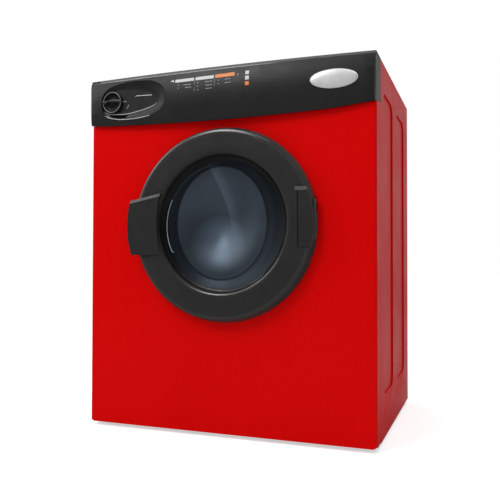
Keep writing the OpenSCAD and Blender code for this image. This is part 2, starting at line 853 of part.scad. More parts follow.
module hinge_bracket() {
    ends = [[hinge_low, hinge_low + knuckle_end], [hinge_high - knuckle_end, hinge_high]];
    color([0.3, 0.31, 0.32]) place() difference() {
        union() {
            block([hinge_x - 8, -2, hinge_low], [hinge_x + knuckle_r + 1, 0, hinge_high]);
            for (e = ends) {
                rod_z(hinge_x, -hinge_y, e[0], e[1], knuckle_r);
                block([hinge_x - 3, -hinge_y, e[0]], [hinge_x + knuckle_r, -1, e[1]]);
            }
        }
        rod_z(hinge_x, -hinge_y, hinge_low - eps, hinge_high + eps, pin_r);
    }
}

module hinge_pin() {
    color([0.75, 0.76, 0.78]) place() rod_z(hinge_x, -hinge_y, hinge_low, hinge_high, pin_r);
}

module hinge_block() {
    back_face = -door_gap - back_t;
    z0 = hinge_low + knuckle_end + knuckle_gap;
    z1 = hinge_high - knuckle_end - knuckle_gap;
    color([0.17, 0.17, 0.18]) place() difference() {
        union() {
            block([notch_x, -block_proud + 2.5, hinge_low + 0.5], [slit_x + 1, back_face,
                hinge_high - 0.5]);
            block([slit_x, -block_proud, hinge_low + 0.5], [block_x, back_face, hinge_high - 0.5]);
            block([back_notch_x + 0.5, back_face - eps, hinge_low + 0.5], [block_x, -door_gap - 1,
                hinge_high - 0.5]);
            rod_z(hinge_x, -hinge_y, z0, z1, knuckle_r);
            block([block_x - 1, -hinge_y - 5, z0], [hinge_x - pin_r - 2, -hinge_y + 5, z1]);
        }
        rod_z(hinge_x, -hinge_y, z0 - eps, z1 + eps, pin_r + run_gap);
        // slit beside the cover
        block([slit_x - 0.5, -block_proud - eps, hinge_low + 6], [slit_x + 0.5, -block_proud + 8,
            hinge_high - 6]);
    }
}

module cable_gland() {
    color([0.14, 0.14, 0.15]) place() difference() {
        union() {
            rod_y(gland_x, gland_z, body_d, body_d + gland_len, gland_r);
            rod_y(gland_x, gland_z, body_d - sheet - 8, body_d, gland_r - 2);
        }
        rod_y(gland_x, gland_z, body_d - sheet - 9, body_d + gland_len + eps, cord_r);
    }
}

module terminal_block() {
    color([0.9, 0.9, 0.87]) place() difference() {
        block([gland_x - 24, body_d - 2 * sheet - 22, gland_z + 18], [gland_x + 24, body_d - sheet,
            gland_z + 44]);
        for (i = [-1:1])
            block([gland_x + i * 14 - 5, body_d - 2 * sheet - 23, gland_z + 22],
                [gland_x + i * 14 + 5, body_d - 2 * sheet - 10, gland_z + 40]);
    }
}

module capacitor() {
    x = motor_x + 55;
    color([0.86, 0.86, 0.84]) place() union() {
        rod_y(x, pan_top + cap_r + 2, motor_y + 20, motor_y + 20 + cap_len, cap_r);
        block([x - 10, motor_y + 24, pan_top], [x + 10, motor_y + 16 + cap_len, pan_top + 8]);
    }
}

module panel_screws() {
    color([0.7, 0.71, 0.73]) place() at_panel_screws() union() {
        rod_y(0, 0, body_d, body_d + 2, 4);
        rod_y(0, 0, body_d - 2 * sheet, body_d, 2);
    }
}

// Lower run of the belt is pressed up by the jockey wheel. Each circle is [x, z, radius of the belt's middle].
belt_mid = belt_t / 2 + soft_gap;
drum_c = [0, door_z, drum_r + belt_mid];
motor_c = [motor_x, motor_z, pulley_r + belt_mid];
jockey_c = [jockey_x, jockey_z, jockey_r + belt_mid];

// Direction of the normal at a tangent from circle a to circle b; side is 1 or -1, cross is -1 for a crossed belt
function tangent_dir(a, b, side, cross) =
    let (d = norm([b[0] - a[0], b[1] - a[1]]),
         u = [(b[0] - a[0]) / d, (b[1] - a[1]) / d],
         c = (a[2] - cross * b[2]) / d,
         s = side * sqrt(1 - c * c))
    [u[0] * c - u[1] * s, u[1] * c + u[0] * s];
function on_circle(a, n, sign) = [a[0] + sign * a[2] * n[0], a[1] + sign * a[2] * n[1]];
function angle_of(n) = atan2(n[1], n[0]);

n_top = tangent_dir(drum_c, motor_c, 1, 1);
n_low = tangent_dir(drum_c, jockey_c, -1, -1);
n_end = tangent_dir(motor_c, jockey_c, 1, -1);

// Straight run of the belt between two points, a little into the arcs at its ends
module belt_run(p, q) {
    d = norm(q - p);
    lap = 0.5;
    translate(p) rotate(angle_of((q - p) / d)) translate([-lap, -belt_t / 2]) square([d + 2 * lap, belt_t]);
}

// Arc of the belt round a circle, between two angles
module belt_arc(c, a0, a1) {
    span = a1 - a0;
    steps = 8;
    reach = c[2] * 1.8;
    translate([c[0], c[1]]) intersection() {
        difference() {
            circle(c[2] + belt_t / 2, $fn = 180);
            circle(c[2] - belt_t / 2, $fn = 180);
        }
        polygon(concat([[0, 0]], [for (i = [0:steps])
            [reach * cos(a0 + span * i / steps), reach * sin(a0 + span * i / steps)]]));
    }
}

module drive_belt() {
    top_angle = angle_of(n_top);
    low_angle = angle_of(n_low);
    end_angle = angle_of(n_end);
    color([0.1, 0.1, 0.1]) place() slab_y(belt_y - belt_w / 2, belt_y + belt_w / 2) {
        belt_run(on_circle(drum_c, n_top, 1), on_circle(motor_c, n_top, 1));
        belt_run(on_circle(drum_c, n_low, 1), on_circle(jockey_c, n_low, -1));
        belt_run(on_circle(jockey_c, n_end, -1), on_circle(motor_c, n_end, 1));
        belt_arc(drum_c, top_angle, top_angle + ((low_angle - top_angle) % 360 + 360) % 360);
        belt_arc(motor_c, end_angle, end_angle + ((top_angle - end_angle) % 360 + 360) % 360);
        belt_arc(jockey_c, end_angle + 180,
            end_angle + 180 + ((low_angle - end_angle) % 360 + 360) % 360);
    }
}

// Whole section of the door ring, as if it were solid
module ring_section() {
    polygon(concat(ring_shoulder(), [[face_in, -door_proud + lip_t], [window_r + 1.5, -door_proud + 8],
        [window_r, -door_proud + 14], [window_r, -glass_seat], [glass_rim_r, -glass_seat],
        [glass_rim_r, -door_gap - back_t], [door_r - door_t, -door_gap - back_t], [door_r - door_t,
            -door_gap]]));
}

module hinge_notch(from_x) {
    block([from_x, -door_proud - 10, hinge_low], [door_r + 20, 0, hinge_high]);
}

// Box behind the handle; grow adds its wall
module finger_pocket(grow) {
    block([-door_r - 10, -door_proud + 4 - grow, door_z - pocket_h / 2 - grow],
        [-pocket_r + grow, eps, door_z + pocket_h / 2 + grow]);
}

module door_frame() {
    color([0.17, 0.17, 0.18]) place() difference() {
        union() {
            difference() {
                turned(0, door_z) ring_section();
                turned(0, door_z) polygon(concat(ring_hollow(), [[face_in + 3,
                    -door_proud + lip_t + door_t],
                    [glass_rim_r + 3, -door_gap - back_t + eps], [door_r - door_t,
                        -door_gap - back_t + eps]]));
            }
            intersection() {
                turned(0, door_z) ring_section();
                union() {
                    finger_pocket(2.5);
                    for (a = screw_angles)
                        rod_y(screw_ring * cos(a), door_z + screw_ring * sin(a),
                            -door_proud + 1, -door_gap - back_t, boss_r);
                    // wall beside the hinge
                    block([notch_x - 2.5, -door_proud, hinge_low - 2.5], [door_r, -door_gap - back_t,
                        hinge_high + 2.5]);
                }
            }
        }
        finger_pocket(0);
        hinge_notch(notch_x);
        for (a = screw_angles)
            rod_y(screw_ring * cos(a), door_z + screw_ring * sin(a), -door_gap - 14, 0, screw_r);
    }
}

module door_handle() {
    top_l = door_z + handle_h / 2 - 8;
    top_r = door_z + handle_h / 2 + 9;
    low = door_z - handle_h / 2 - 3;
    color([0.19, 0.19, 0.2]) place() difference() {
        slab_y(-handle_proud, -door_proud + 1.5) intersection() {
            translate([0, door_z]) difference() {
                circle(handle_r, $fn = 180);
                circle(face_in - 1, $fn = 180);
            }
            polygon([[-handle_r - 10, top_l], [-face_in + 40, top_r], [-face_in + 40, low],
                [-handle_r - 10, low]]);
        }
        turned(0, door_z) ring_section();
    }
}

module door_back_ring() {
    inner_r = window_r - 2;
    color([0.2, 0.2, 0.21]) place() difference() {
        turned(0, door_z) polygon([[inner_r, -door_gap - back_t], [door_r - door_t, -door_gap - back_t],
            [door_r - door_t, -door_gap], [seal_r + seal_w / 2, -door_gap],
            [seal_r + seal_w / 2, -door_gap - seal_d], [seal_r - seal_w / 2, -door_gap - seal_d],
            [seal_r - seal_w / 2, -door_gap], [spigot_out, -door_gap], [spigot_out, spigot_len],
            [spigot_out - door_t, spigot_len], [spigot_out - door_t, -door_gap], [inner_r, -door_gap]]);
        finger_pocket(0);
        hinge_notch(back_notch_x);
        for (a = screw_angles) {
            rod_y(screw_ring * cos(a), door_z + screw_ring * sin(a), -door_gap - back_t - eps, 0, screw_r);
            rod_y(screw_ring * cos(a), door_z + screw_ring * sin(a), -door_gap - 2, 0, head_r);
        }
        block([-strike_r - strike_w / 2, -door_gap - 3, door_z - strike_h / 2],
            [-strike_r + strike_w / 2, 0, door_z + strike_h / 2]);
    }
}

module door_glass() {
    rim_in = window_r - 4;
    color([0.16, 0.19, 0.24, 0.55]) place() turned(0, door_z) polygon(concat(
        [[glass_rim_r, -glass_seat], [glass_rim_r, -glass_seat + glass_rim_t], [rim_in,
            -glass_seat + glass_rim_t]],
        [for (i = [0:6]) [dish_r * (1 - i / 6), dish_y + glass_t + dish_sag * (1 - pow(1 - i / 6, 2))]],
        [for (i = [0:6]) [dish_r * i / 6, dish_y + dish_sag * (1 - pow(i / 6, 2))]],
        [[rim_in - 1, -glass_seat]]));
}

module door_seal() {
    color([0.12, 0.12, 0.12]) place() turned(0, door_z) polygon([
        [seal_r - seal_w / 2, -door_gap - seal_d], [seal_r + seal_w / 2, -door_gap - seal_d],
        [seal_r + seal_w / 2, -door_gap], [seal_r + 1, -soft_gap], [seal_r - 1, -soft_gap],
        [seal_r - seal_w / 2, -door_gap]]);
}

module door_strike() {
    x = -strike_r;
    color([0.8, 0.8, 0.78]) place() union() {
        block([x - strike_w / 2, -door_gap - 3, door_z - strike_h / 2], [x + strike_w / 2,
            strike_len - 6, door_z + strike_h / 2]);
        // rounded nose
        translate([x, strike_len - 6, door_z - strike_h / 2]) cylinder(r = strike_w / 2, h = strike_h,
            $fn = 48);
    }
}

module door_screws() {
    color([0.6, 0.61, 0.63]) place() for (a = screw_angles)
        translate([screw_ring * cos(a), 0, door_z + screw_ring * sin(a)]) union() {
            rod_y(0, 0, -door_gap - 2, -door_gap, head_r);
            rod_y(0, 0, -door_gap - 13, -door_gap - 2, screw_r);
        }
}

module drum_shell() {
    color([0.78, 0.79, 0.8]) place() turned(0, door_z)
        translate([drum_r - drum_t, drum_front_y + drum_t])
            square([drum_t, drum_back_y - drum_front_y - drum_t]);
}

module drum_front() {
    color([0.76, 0.77, 0.78]) place() turned(0, door_z) polygon([
        [neck_r, neck_y + 2], [neck_r + drum_t, neck_y + 2], [neck_r + drum_t, drum_front_y],
        [drum_r, drum_front_y], [drum_r, drum_front_y + drum_t], [neck_r, drum_front_y + drum_t]]);
}

module drum_back() {
    color([0.76, 0.77, 0.78]) place() slab_y(drum_back_y, drum_back_y + drum_t)
        translate([0, door_z]) difference() {
            circle(drum_r, $fn = round_fn * 2);
            for (ring = [0:2], i = [0:23])
                rotate(i * 15 + ring * 7.5) translate([air_ring - 24 + ring * 24, 0]) circle(5, $fn = 24);
        }
}

module drum_lifters() {
    reach = drum_r - drum_t;
    color([0.3, 0.31, 0.33]) place() for (i = [0:lifter_count - 1])
        intersection() {
            slab_y(lifter_front, lifter_back) translate([0, door_z]) rotate(30 + i * 360 / lifter_count)
                polygon([[reach + 4, -26], [reach - 10, -24], [reach - lifter_h + 4, -8],
                    [reach - lifter_h, -4],
                    [reach - lifter_h, 4], [reach - lifter_h + 4, 8], [reach - 10, 24], [reach + 4, 26]]);
            rod_y(0, door_z, lifter_front - eps, lifter_back + eps, reach);
        }
}

module drum_shaft() {
    back = drum_back_y + drum_t;
    color([0.55, 0.56, 0.58]) place() union() {
        rod_y(0, door_z, back, back + 2.5, 60);
        rod_y(0, door_z, back, bearing_y + bearing_len + 2, shaft_r);
    }
}

module motor_shaft() {
    color([0.7, 0.71, 0.73]) place() rod_y(motor_x, motor_z, wheel_front + 4,
        belt_y + pulley_w / 2 + 4, axle_r);
}

module motor_pulley() {
    half = pulley_w / 2;
    rim = pulley_r + 4;
    color([0.5, 0.51, 0.53]) place() difference() {
        turned(motor_x, motor_z) polygon([[0, belt_y - half], [rim, belt_y - half], [rim,
            belt_y - half + 2],
            [pulley_r, belt_y - half + 2], [pulley_r, belt_y + half - 2], [rim, belt_y + half - 2],
            [rim, belt_y + half], [0, belt_y + half]]);
        rod_y(motor_x, motor_z, belt_y - pulley_w, belt_y + pulley_w, axle_r);
    }
}

module fan_impeller() {
    color([0.24, 0.25, 0.27]) place() difference() {
        union() {
            rod_y(motor_x, motor_z, wheel_back - 2, wheel_back, wheel_r);
            rod_y(motor_x, motor_z, wheel_back - 22, wheel_back + 4, 14);
            turned(motor_x, motor_z) polygon([[inlet_r + 4, wheel_front], [wheel_r, wheel_front],
                [wheel_r, wheel_front + 2], [inlet_r + 4, wheel_front + 2]]);
            for (i = [0:blade_count - 1])
                translate([motor_x, 0, motor_z]) rotate([0, i * 360 / blade_count, 0])
                    block([inlet_r + 6, wheel_front + 1, -1], [wheel_r - 1, wheel_back - 1, 1]);
        }
        rod_y(motor_x, motor_z, wheel_front - eps, wheel_back + 6, axle_r);
    }
}

module jockey_arm() {
    dx = jockey_x - pivot_x;
    dz = jockey_z - pivot_z;
    color([0.6, 0.61, 0.63]) place() difference() {
        union() {
            rod_y(pivot_x, pivot_z, arm_y, arm_y + arm_t, arm_w + 2);
            rod_y(jockey_x, jockey_z, arm_y, arm_y + arm_t, arm_w);
            translate([pivot_x, arm_y, pivot_z]) rotate([0, -atan2(dz, dx), 0])
                block([0, 0, -arm_w + 1], [norm([dx, dz]), arm_t, arm_w - 1]);
            // axle of the jockey wheel
            rod_y(jockey_x, jockey_z, arm_y + arm_t, belt_y + pulley_w / 2, 4);
        }
        rod_y(pivot_x, pivot_z, arm_y - eps, arm_y + arm_t + eps, pivot_r + run_gap);
    }
}

module jockey_pulley() {
    low = belt_y - belt_w / 2 - 2;
    high = belt_y + belt_w / 2 + 2;
    rim = jockey_r + 2;
    color([0.85, 0.85, 0.83]) place() difference() {
        turned(jockey_x, jockey_z) polygon([[0, low], [rim, low], [rim, low + 1.5], [jockey_r, low + 1.5],
            [jockey_r, high - 1.5], [rim, high - 1.5], [rim, high], [0, high]]);
        rod_y(jockey_x, jockey_z, low - eps, high + eps, 4 + run_gap);
    }
}

module tension_spring() {
    start = arm_y + arm_t + 0.5;
    coil = 2;
    color([0.65, 0.66, 0.68]) place() turned(pivot_x, pivot_z) polygon(concat(
        [[pivot_r, start + 5 * coil], [pivot_r, start]],
        [for (i = [0:4], k = [0:1]) [pivot_r + (k == 0 ? 1.2 : 2.2), start + (i + k / 2) * coil]],
        [[pivot_r + 1.2, start + 5 * coil]]));
}

module lint_filter() {
    half = filter_t / 2;
    edge = 10;
    spine = 1;
    color([0.3, 0.42, 0.55]) place() difference() {
        block([-filter_w / 2, filter_y - half, filter_low], [filter_w / 2, filter_y + half, duct_high]);
        rod_y(0, door_z, filter_y - filter_t, filter_y + filter_t, mouth_r);
        // window that the mesh spans
        block([-filter_w / 2 + edge, filter_y - half - eps, filter_low + edge],
            [filter_w / 2 - edge, filter_y - spine, filter_window_high]);
        block([-filter_w / 2 + edge, filter_y + spine, filter_low + edge],
            [filter_w / 2 - edge, filter_y + half + eps, filter_window_high]);
    }
}

module foot(i) {
    p = foot_places()[i];
    color([0.12, 0.12, 0.13]) place() translate([p[0], p[1], 0]) union() {
        translate([0, 0, -skirt_lift]) cylinder(r = pad_r, h = skirt_lift - foot_neck_h, $fn = 64);
        translate([0, 0, -foot_neck_h]) cylinder(r = foot_neck_r, h = foot_neck_h + sheet - soft_gap,
            $fn = 64);
        translate([0, 0, sheet - soft_gap - eps]) cylinder(r = stem_r, h = stem_len + eps, $fn = 64);
    }
}

module foot_front_left() foot(0);
module foot_front_right() foot(1);
module foot_rear_left() foot(2);
module foot_rear_right() foot(3);

side_panel_left();
side_panel_right();
front_panel();
top_panel();
rear_panel();
base_pan();
fascia();
dial_panel();
pilot_lens();
badge_plate();
timer_body();
mouth_throat();
front_bulkhead();
bulkhead_collar();
rear_bulkhead();
felt_seals();
drum_bearing();
heater_housing();
heater_element();
thermostats();
motor_body();
motor_bracket();
fan_housing();
lint_duct();
exhaust_duct();
exhaust_collar();
door_catch();
hinge_bracket();
hinge_pin();
cable_gland();
terminal_block();
capacitor();
panel_screws();
drive_belt();
door_frame();
door_handle();
door_back_ring();
door_glass();
door_seal();
door_strike();
hinge_block();
door_screws();
drum_shell();
drum_front();
drum_back();
drum_lifters();
drum_shaft();
motor_shaft();
motor_pulley();
fan_impeller();
jockey_arm();
jockey_pulley();
tension_spring();
timer_knob();
timer_spindle();
lint_filter();
foot_front_left();
foot_front_right();
foot_rear_left();
foot_rear_right();
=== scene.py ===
import bpy
import bmesh
import math
from mathutils import Matrix, Vector


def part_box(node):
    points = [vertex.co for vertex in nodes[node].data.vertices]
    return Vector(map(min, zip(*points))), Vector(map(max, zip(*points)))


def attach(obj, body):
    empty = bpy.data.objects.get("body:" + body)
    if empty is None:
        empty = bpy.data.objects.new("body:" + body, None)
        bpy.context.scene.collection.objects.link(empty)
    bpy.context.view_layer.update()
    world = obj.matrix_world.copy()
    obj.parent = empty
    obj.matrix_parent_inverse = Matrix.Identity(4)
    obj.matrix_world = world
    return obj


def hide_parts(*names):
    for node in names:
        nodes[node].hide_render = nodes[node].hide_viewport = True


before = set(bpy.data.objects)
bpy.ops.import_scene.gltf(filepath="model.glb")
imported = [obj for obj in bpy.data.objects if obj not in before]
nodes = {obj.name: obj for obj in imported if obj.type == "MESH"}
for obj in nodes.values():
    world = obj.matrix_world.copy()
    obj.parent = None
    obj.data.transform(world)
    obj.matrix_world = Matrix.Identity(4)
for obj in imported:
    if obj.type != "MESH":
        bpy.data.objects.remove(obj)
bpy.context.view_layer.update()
mm = 0.001

# places taken from the frame
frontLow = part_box("front_panel")[0]
frontY = frontLow.y  # painted front face
skirtZ = frontLow.z  # lower edge of the skirt
drumLow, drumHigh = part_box("drum_shell")
doorZ = ((drumLow.z + drumHigh.z) / 2 - skirtZ) / mm  # the door shares the drum's axis
knobLow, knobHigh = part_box("timer_knob")
knobX = (knobLow.x + knobHigh.x) / 2 / mm
knobZ = ((knobLow.z + knobHigh.z) / 2 - skirtZ) / mm
badgeLow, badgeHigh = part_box("badge_plate")
print("frame ready")


# from the cabinet's millimetres to the frame's metres
def at(x, y, z):
    return Vector((x * mm, frontY + y * mm, skirtZ + z * mm))


# and back again
def placeOf(point):
    return (point - at(0, 0, 0)) / mm


def clamp(value):
    return min(max(value, 0), 1)


def meshFrom(name, bm):
    mesh = bpy.data.meshes.new(name)
    bm.to_mesh(mesh)
    bm.free()
    return mesh


def addObject(name, data):
    item = bpy.data.objects.new(name, data)
    bpy.context.scene.collection.objects.link(item)
    return item


def shadeSmooth(mesh, angle):
    mesh.shade_smooth()
    mesh.set_sharp_from_angle(angle=math.radians(angle))


def makePiece(name, bm, material, body, replaces=(), smoothAngle=30):
    bmesh.ops.recalc_face_normals(bm, faces=bm.faces)
    piece = addObject(name, meshFrom(name, bm))
    piece.data.materials.append(material)
    shadeSmooth(piece.data, smoothAngle)
    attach(piece, body)
    if replaces:
        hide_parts(*replaces)
    return piece


def addBevel(piece, width, segments=3, angle=30):
    bevel = piece.modifiers.new("softEdges", "BEVEL")
    bevel.width = width * mm
    bevel.segments = segments
    bevel.limit_method = "ANGLE"
    bevel.angle_limit = math.radians(angle)
    bevel.use_clamp_overlap = True
    bevel.harden_normals = True
    bevel.miter_outer = "MITER_ARC"


# gives a thin sheet its thickness: offset 1 grows it outwards, -1 inwards
def addWall(piece, thickness, offset):
    wall = piece.modifiers.new("wall", "SOLIDIFY")
    wall.thickness = thickness * mm
    wall.offset = offset


# a CAD node's shape with softened edges
def softened(node, material, width, segments=3, angle=30, body="cabinet"):
    bm = bmesh.new()
    bm.from_mesh(nodes[node].data)
    bmesh.ops.remove_doubles(bm, verts=bm.verts, dist=1e-5)
    bmesh.ops.dissolve_limit(bm, angle_limit=math.radians(0.6), verts=bm.verts, edges=bm.edges,
                             delimit={"NORMAL"})
    piece = makePiece(node + "_soft", bm, material, body, [node], angle)
    addBevel(piece, width, segments, angle)
    return piece


# turns a closed profile of (radius, y) round an axis along Y
def spunProfile(profile, centreX, centreZ, steps, angle=360, start=0):
    bm = bmesh.new()
    turn = Matrix.Rotation(math.radians(-start), 4, "Y")
    centre = Vector((centreX * mm, 0, skirtZ + centreZ * mm))
    verts = []
    for radius, y in profile:
        verts.append(bm.verts.new(centre + turn @ Vector((radius * mm, frontY + y * mm, 0))))
    edges = [bm.edges.new(pair) for pair in zip(verts, verts[1:] + verts[:1])]
    bmesh.ops.spin(bm, geom=verts + edges, cent=centre, axis=(0, -1, 0), dvec=(0, 0, 0),
                   angle=math.radians(angle), steps=steps, use_merge=angle == 360, use_duplicate=False)
    bmesh.ops.remove_doubles(bm, verts=bm.verts, dist=1e-6)
    return bm


# adds a box given by two corners in cabinet millimetres
def addBox(bm, low, high):
    made = bmesh.ops.create_cube(bm, size=1)
    lowPlace, highPlace = at(*low), at(*high)
    bmesh.ops.scale(bm, vec=highPlace - lowPlace, verts=made["verts"])
    bmesh.ops.translate(bm, vec=(lowPlace + highPlace) / 2, verts=made["verts"])


# cuts a box out of a piece
def cutBox(piece, low, high):
    bm = bmesh.new()
    addBox(bm, low, high)
    cutter = addObject("cutter", meshFrom("cutter", bm))
    cut = piece.modifiers.new("cut", "BOOLEAN")
    cut.operation = "DIFFERENCE"
    cut.solver = "EXACT"
    cut.object = cutter
    graph = bpy.context.evaluated_depsgraph_get()
    result = bpy.data.meshes.new_from_object(piece.evaluated_get(graph))
    piece.modifiers.remove(cut)
    oldMesh = piece.data
    piece.data = result
    bpy.data.meshes.remove(oldMesh)
    bpy.data.objects.remove(cutter)
    shadeSmooth(piece.data, 30)


# splits every face along a plane, and drops what lies beyond it if asked
def splitAt(bm, place, normal, clear=False):
    everything = bm.verts[:] + bm.edges[:] + bm.faces[:]
    bmesh.ops.bisect_plane(bm, geom=everything, plane_co=place, plane_no=normal, clear_outer=clear)


# doubles a sheet of faces into a solid, and returns the new side's points
def raisedVerts(bm):
    raised = bmesh.ops.extrude_face_region(bm, geom=bm.faces[:])
    return [g for g in raised["geom"] if isinstance(g, bmesh.types.BMVert)]


# faces between closed rings with the same number of points
def bridgeRings(bm, rings):
    for a, b in zip(rings, rings[1:]):
        for i in range(len(a)):
            k = (i + 1) % len(a)
            bm.faces.new((a[i], a[k], b[k], b[i]))


# round bead swept along points given in cabinet millimetres
def sweptBead(points, radius):
    bm = bmesh.new()
    sides = 8
    places = [at(*point) for point in points]
    rings = []
    for i, place in enumerate(places):
        ahead = (places[min(i + 1, len(places) - 1)] - places[max(i - 1, 0)]).normalized()
        side = ahead.cross(Vector((0, 1, 0))).normalized()
        lift = side.cross(ahead).normalized()
        share = i / (len(places) - 1)
        # the ends are tapered
        size = radius * mm * min(1, 0.25 + 5 * share, 0.25 + 5 * (1 - share))
        rings.append([bm.verts.new(place + (side * math.cos(2 * math.pi * k / sides)
                                            + lift * math.sin(2 * math.pi * k / sides)) * size)
                      for k in range(sides)])
    bridgeRings(bm, rings)
    bm.faces.new(rings[0])
    bm.faces.new(rings[-1])
    return bm


# each input takes a value or another node's output
def fill(tree, node, inputs):
    for name, value in inputs.items():
        if isinstance(value, bpy.types.NodeSocket):
            tree.links.new(value, node.inputs[name])
        else:
            node.inputs[name].default_value = value


def addNode(tree, kind, inputs, **settings):
    node = tree.nodes.new("ShaderNode" + kind)
    for name, value in settings.items():
        setattr(node, name, value)
    fill(tree, node, inputs)
    return node


def newMaterial(name):
    material = bpy.data.materials.new(name)
    material.use_nodes = True
    tree = material.node_tree
    coords = addNode(tree, "TexCoord", {}).outputs["Object"]
    return material, tree, tree.nodes["Principled BSDF"], coords


def addNoise(tree, coords, scale, detail, stretch=None):
    if stretch:
        coords = addNode(tree, "Mapping", {"Vector": coords, "Scale": stretch}).outputs["Vector"]
    return addNode(tree, "TexNoise", {"Vector": coords, "Scale": scale, "Detail": detail}).outputs["Fac"]


# stops are (position, colour) or (position, grey)
def addRamp(tree, source, stops):
    ramp = addNode(tree, "ValToRGB", {"Fac": source})
    elements = ramp.color_ramp.elements
    while len(elements) < len(stops):
        elements.new(0.5)
    for element, (position, colour) in zip(elements, stops):
        element.position = position
        element.color = (*colour, 1) if isinstance(colour, tuple) else (colour, colour, colour, 1)
    return ramp.outputs["Color"]


def addRange(tree, source, low, high, fromLow=0.3, fromHigh=0.7):
    span = addNode(tree, "MapRange", {"Value": source, "From Min": fromLow, "From Max": fromHigh,
                                      "To Min": low, "To Max": high})
    return span.outputs["Result"]


# a colour multiplied by a tint, by a share
def addTint(tree, colour, tint, share):
    mix = addNode(tree, "Mix", {"Factor": share, "A": colour, "B": tint}, data_type="RGBA",
                  blend_type="MULTIPLY")
    return mix.outputs["Result"]


# a finish with mottled colour, uneven roughness and a fine surface grain; its colours are RGB or a grey
def surface(name, dark, light, roughness, grain, grainStrength, metallic=0, ior=1.45, mottle=40,
            stretch=None, grainDetail=2):
    material, tree, shader, coords = newMaterial(name)
    cloud = addNoise(tree, coords, mottle, 4)
    rub = addNoise(tree, coords, mottle * 2.3, 3)
    fine = addNoise(tree, coords, grain, grainDetail, stretch)
    bump = addNode(tree, "Bump", {"Strength": grainStrength, "Distance": 0.0004, "Height": fine})
    fill(tree, shader, {"Base Color": addRamp(tree, cloud, [(0.3, dark), (0.7, light)]),
                        "Roughness": addRange(tree, rub, *roughness), "Normal": bump.outputs["Normal"],
                        "Metallic": metallic, "IOR": ior})
    return material


redEnamel = surface("redEnamel", (0.59, 0.001, 0.001), (0.615, 0.0014, 0.0013), (0.27, 0.36), 1100, 0.025,
                    ior=1.15, mottle=4)
frontEnamel = surface("frontEnamel", (0.605, 0.0008, 0.0008), (0.63, 0.0011, 0.001), (0.27, 0.36), 1100,
                      0.025, ior=1.11, mottle=4)
blackSatin = surface("blackSatin", (0.0145, 0.015, 0.0145), (0.0185, 0.0185, 0.018), (0.36, 0.46), 2600, 0.1,
                     ior=1.3, mottle=22)
returnSatin = surface("returnSatin", (0.0165, 0.0165, 0.016), (0.0205, 0.02, 0.0195), (0.34, 0.42), 2600, 0.1,
                      ior=1.55, mottle=22)
# a light grey for the fascia's top lip: a painted reflection of its rounded edge
lipPaintedReflection = surface("lipPaintedReflection", (0.115, 0.115, 0.114), (0.14, 0.14, 0.138), (0.3, 0.38), 2600, 0.08, ior=1.4,
                   mottle=22)
doorSatin = surface("doorSatin", (0.0185, 0.0185, 0.018), (0.0225, 0.0225, 0.022), (0.3, 0.37), 2600, 0.08,
                    ior=1.38, mottle=22)
dialPlastic = surface("dialPlastic", 0.01, 0.014, (0.34, 0.44), 3200, 0.12, ior=1.35, mottle=30)
edgeSatin = surface("edgeSatin", (0.02, 0.02, 0.0195), (0.024, 0.024, 0.0235), (0.2, 0.26), 2600, 0.05,
                    ior=1.62, mottle=22)
slotBlack = surface("slotBlack", 0.003, 0.004, (0.8, 0.9), 900, 0.02, ior=1.05, mottle=30)
wallSatin = surface("wallSatin", (0.036, 0.036, 0.035), (0.044, 0.044, 0.043), (0.7, 0.8), 2600, 0.05,
                    ior=1.12, mottle=22)
# a lighter copy of the wall's finish: a painted highlight
wallPaintedHighlight = surface("wallPaintedHighlight", (0.056, 0.06, 0.056), (0.068, 0.072, 0.068), (0.55, 0.65), 2600, 0.05,
                    ior=1.2, mottle=22)
knobBlack = surface("knobBlack", (0.006, 0.0052, 0.0048), (0.0085, 0.0075, 0.007), (0.42, 0.5), 2400, 0.06,
                    ior=1.2)
knobRidge = surface("knobRidge", 0.018, 0.024, (0.3, 0.38), 2400, 0.06)
ringBack = surface("ringBack", (0.02, 0.02, 0.021), (0.028, 0.028, 0.029), (0.42, 0.55), 1800, 0.12, ior=1.4,
                   mottle=20)
silverOval = surface("silverOval", (0.66, 0.66, 0.67), (0.74, 0.74, 0.75), (0.3, 0.4), 900, 0.05,
                     metallic=0.35, stretch=(0.06, 1, 1))
brightRim = surface("brightRim", 0.2, 0.25, (0.36, 0.42), 1500, 0.03, metallic=0.55, mottle=60)
galvanised = surface("galvanised", (0.38, 0.39, 0.4), (0.48, 0.49, 0.51), (0.36, 0.5), 500, 0.05,
                     metallic=0.85, mottle=34)
drumSteel = surface("drumSteel", (0.42, 0.43, 0.44), (0.56, 0.57, 0.58), (0.26, 0.38), 700, 0.05,
                    metallic=0.95, mottle=14, stretch=(1, 0.03, 1))
platedSteel = surface("platedSteel", (0.48, 0.48, 0.49), (0.6, 0.6, 0.61), (0.24, 0.36), 1200, 0.04,
                      metallic=1, mottle=50)
ductPlastic = surface("ductPlastic", (0.014, 0.014, 0.015), (0.022, 0.022, 0.023), (0.48, 0.6), 1400, 0.12,
                      ior=1.4, mottle=18)
blackRubber = surface("blackRubber", 0.01, 0.018, (0.6, 0.78), 900, 0.18, ior=1.4, mottle=30)
whiteNylon = surface("whiteNylon", (0.66, 0.66, 0.62), (0.74, 0.74, 0.71), (0.38, 0.5), 1500, 0.08, mottle=30)
blackEnamel = surface("blackEnamel", 0.014, 0.019, (0.3, 0.4), 1600, 0.06)
woolFelt = surface("woolFelt", (0.065, 0.06, 0.052), (0.12, 0.11, 0.1), (0.9, 0.98), 2200, 0.5, mottle=120,
                   grainDetail=5)
castMetal = surface("castMetal", (0.2, 0.21, 0.22), (0.3, 0.31, 0.32), (0.45, 0.6), 1000, 0.2, metallic=0.8,
                    mottle=60)
sinteredIron = surface("sinteredIron", (0.1, 0.1, 0.105), (0.16, 0.16, 0.165), (0.5, 0.65), 2500, 0.2,
                       metallic=0.8, mottle=80)
heaterSheath = surface("heaterSheath", (0.1, 0.085, 0.075), (0.2, 0.17, 0.15), (0.45, 0.6), 1500, 0.1,
                       metallic=0.7)
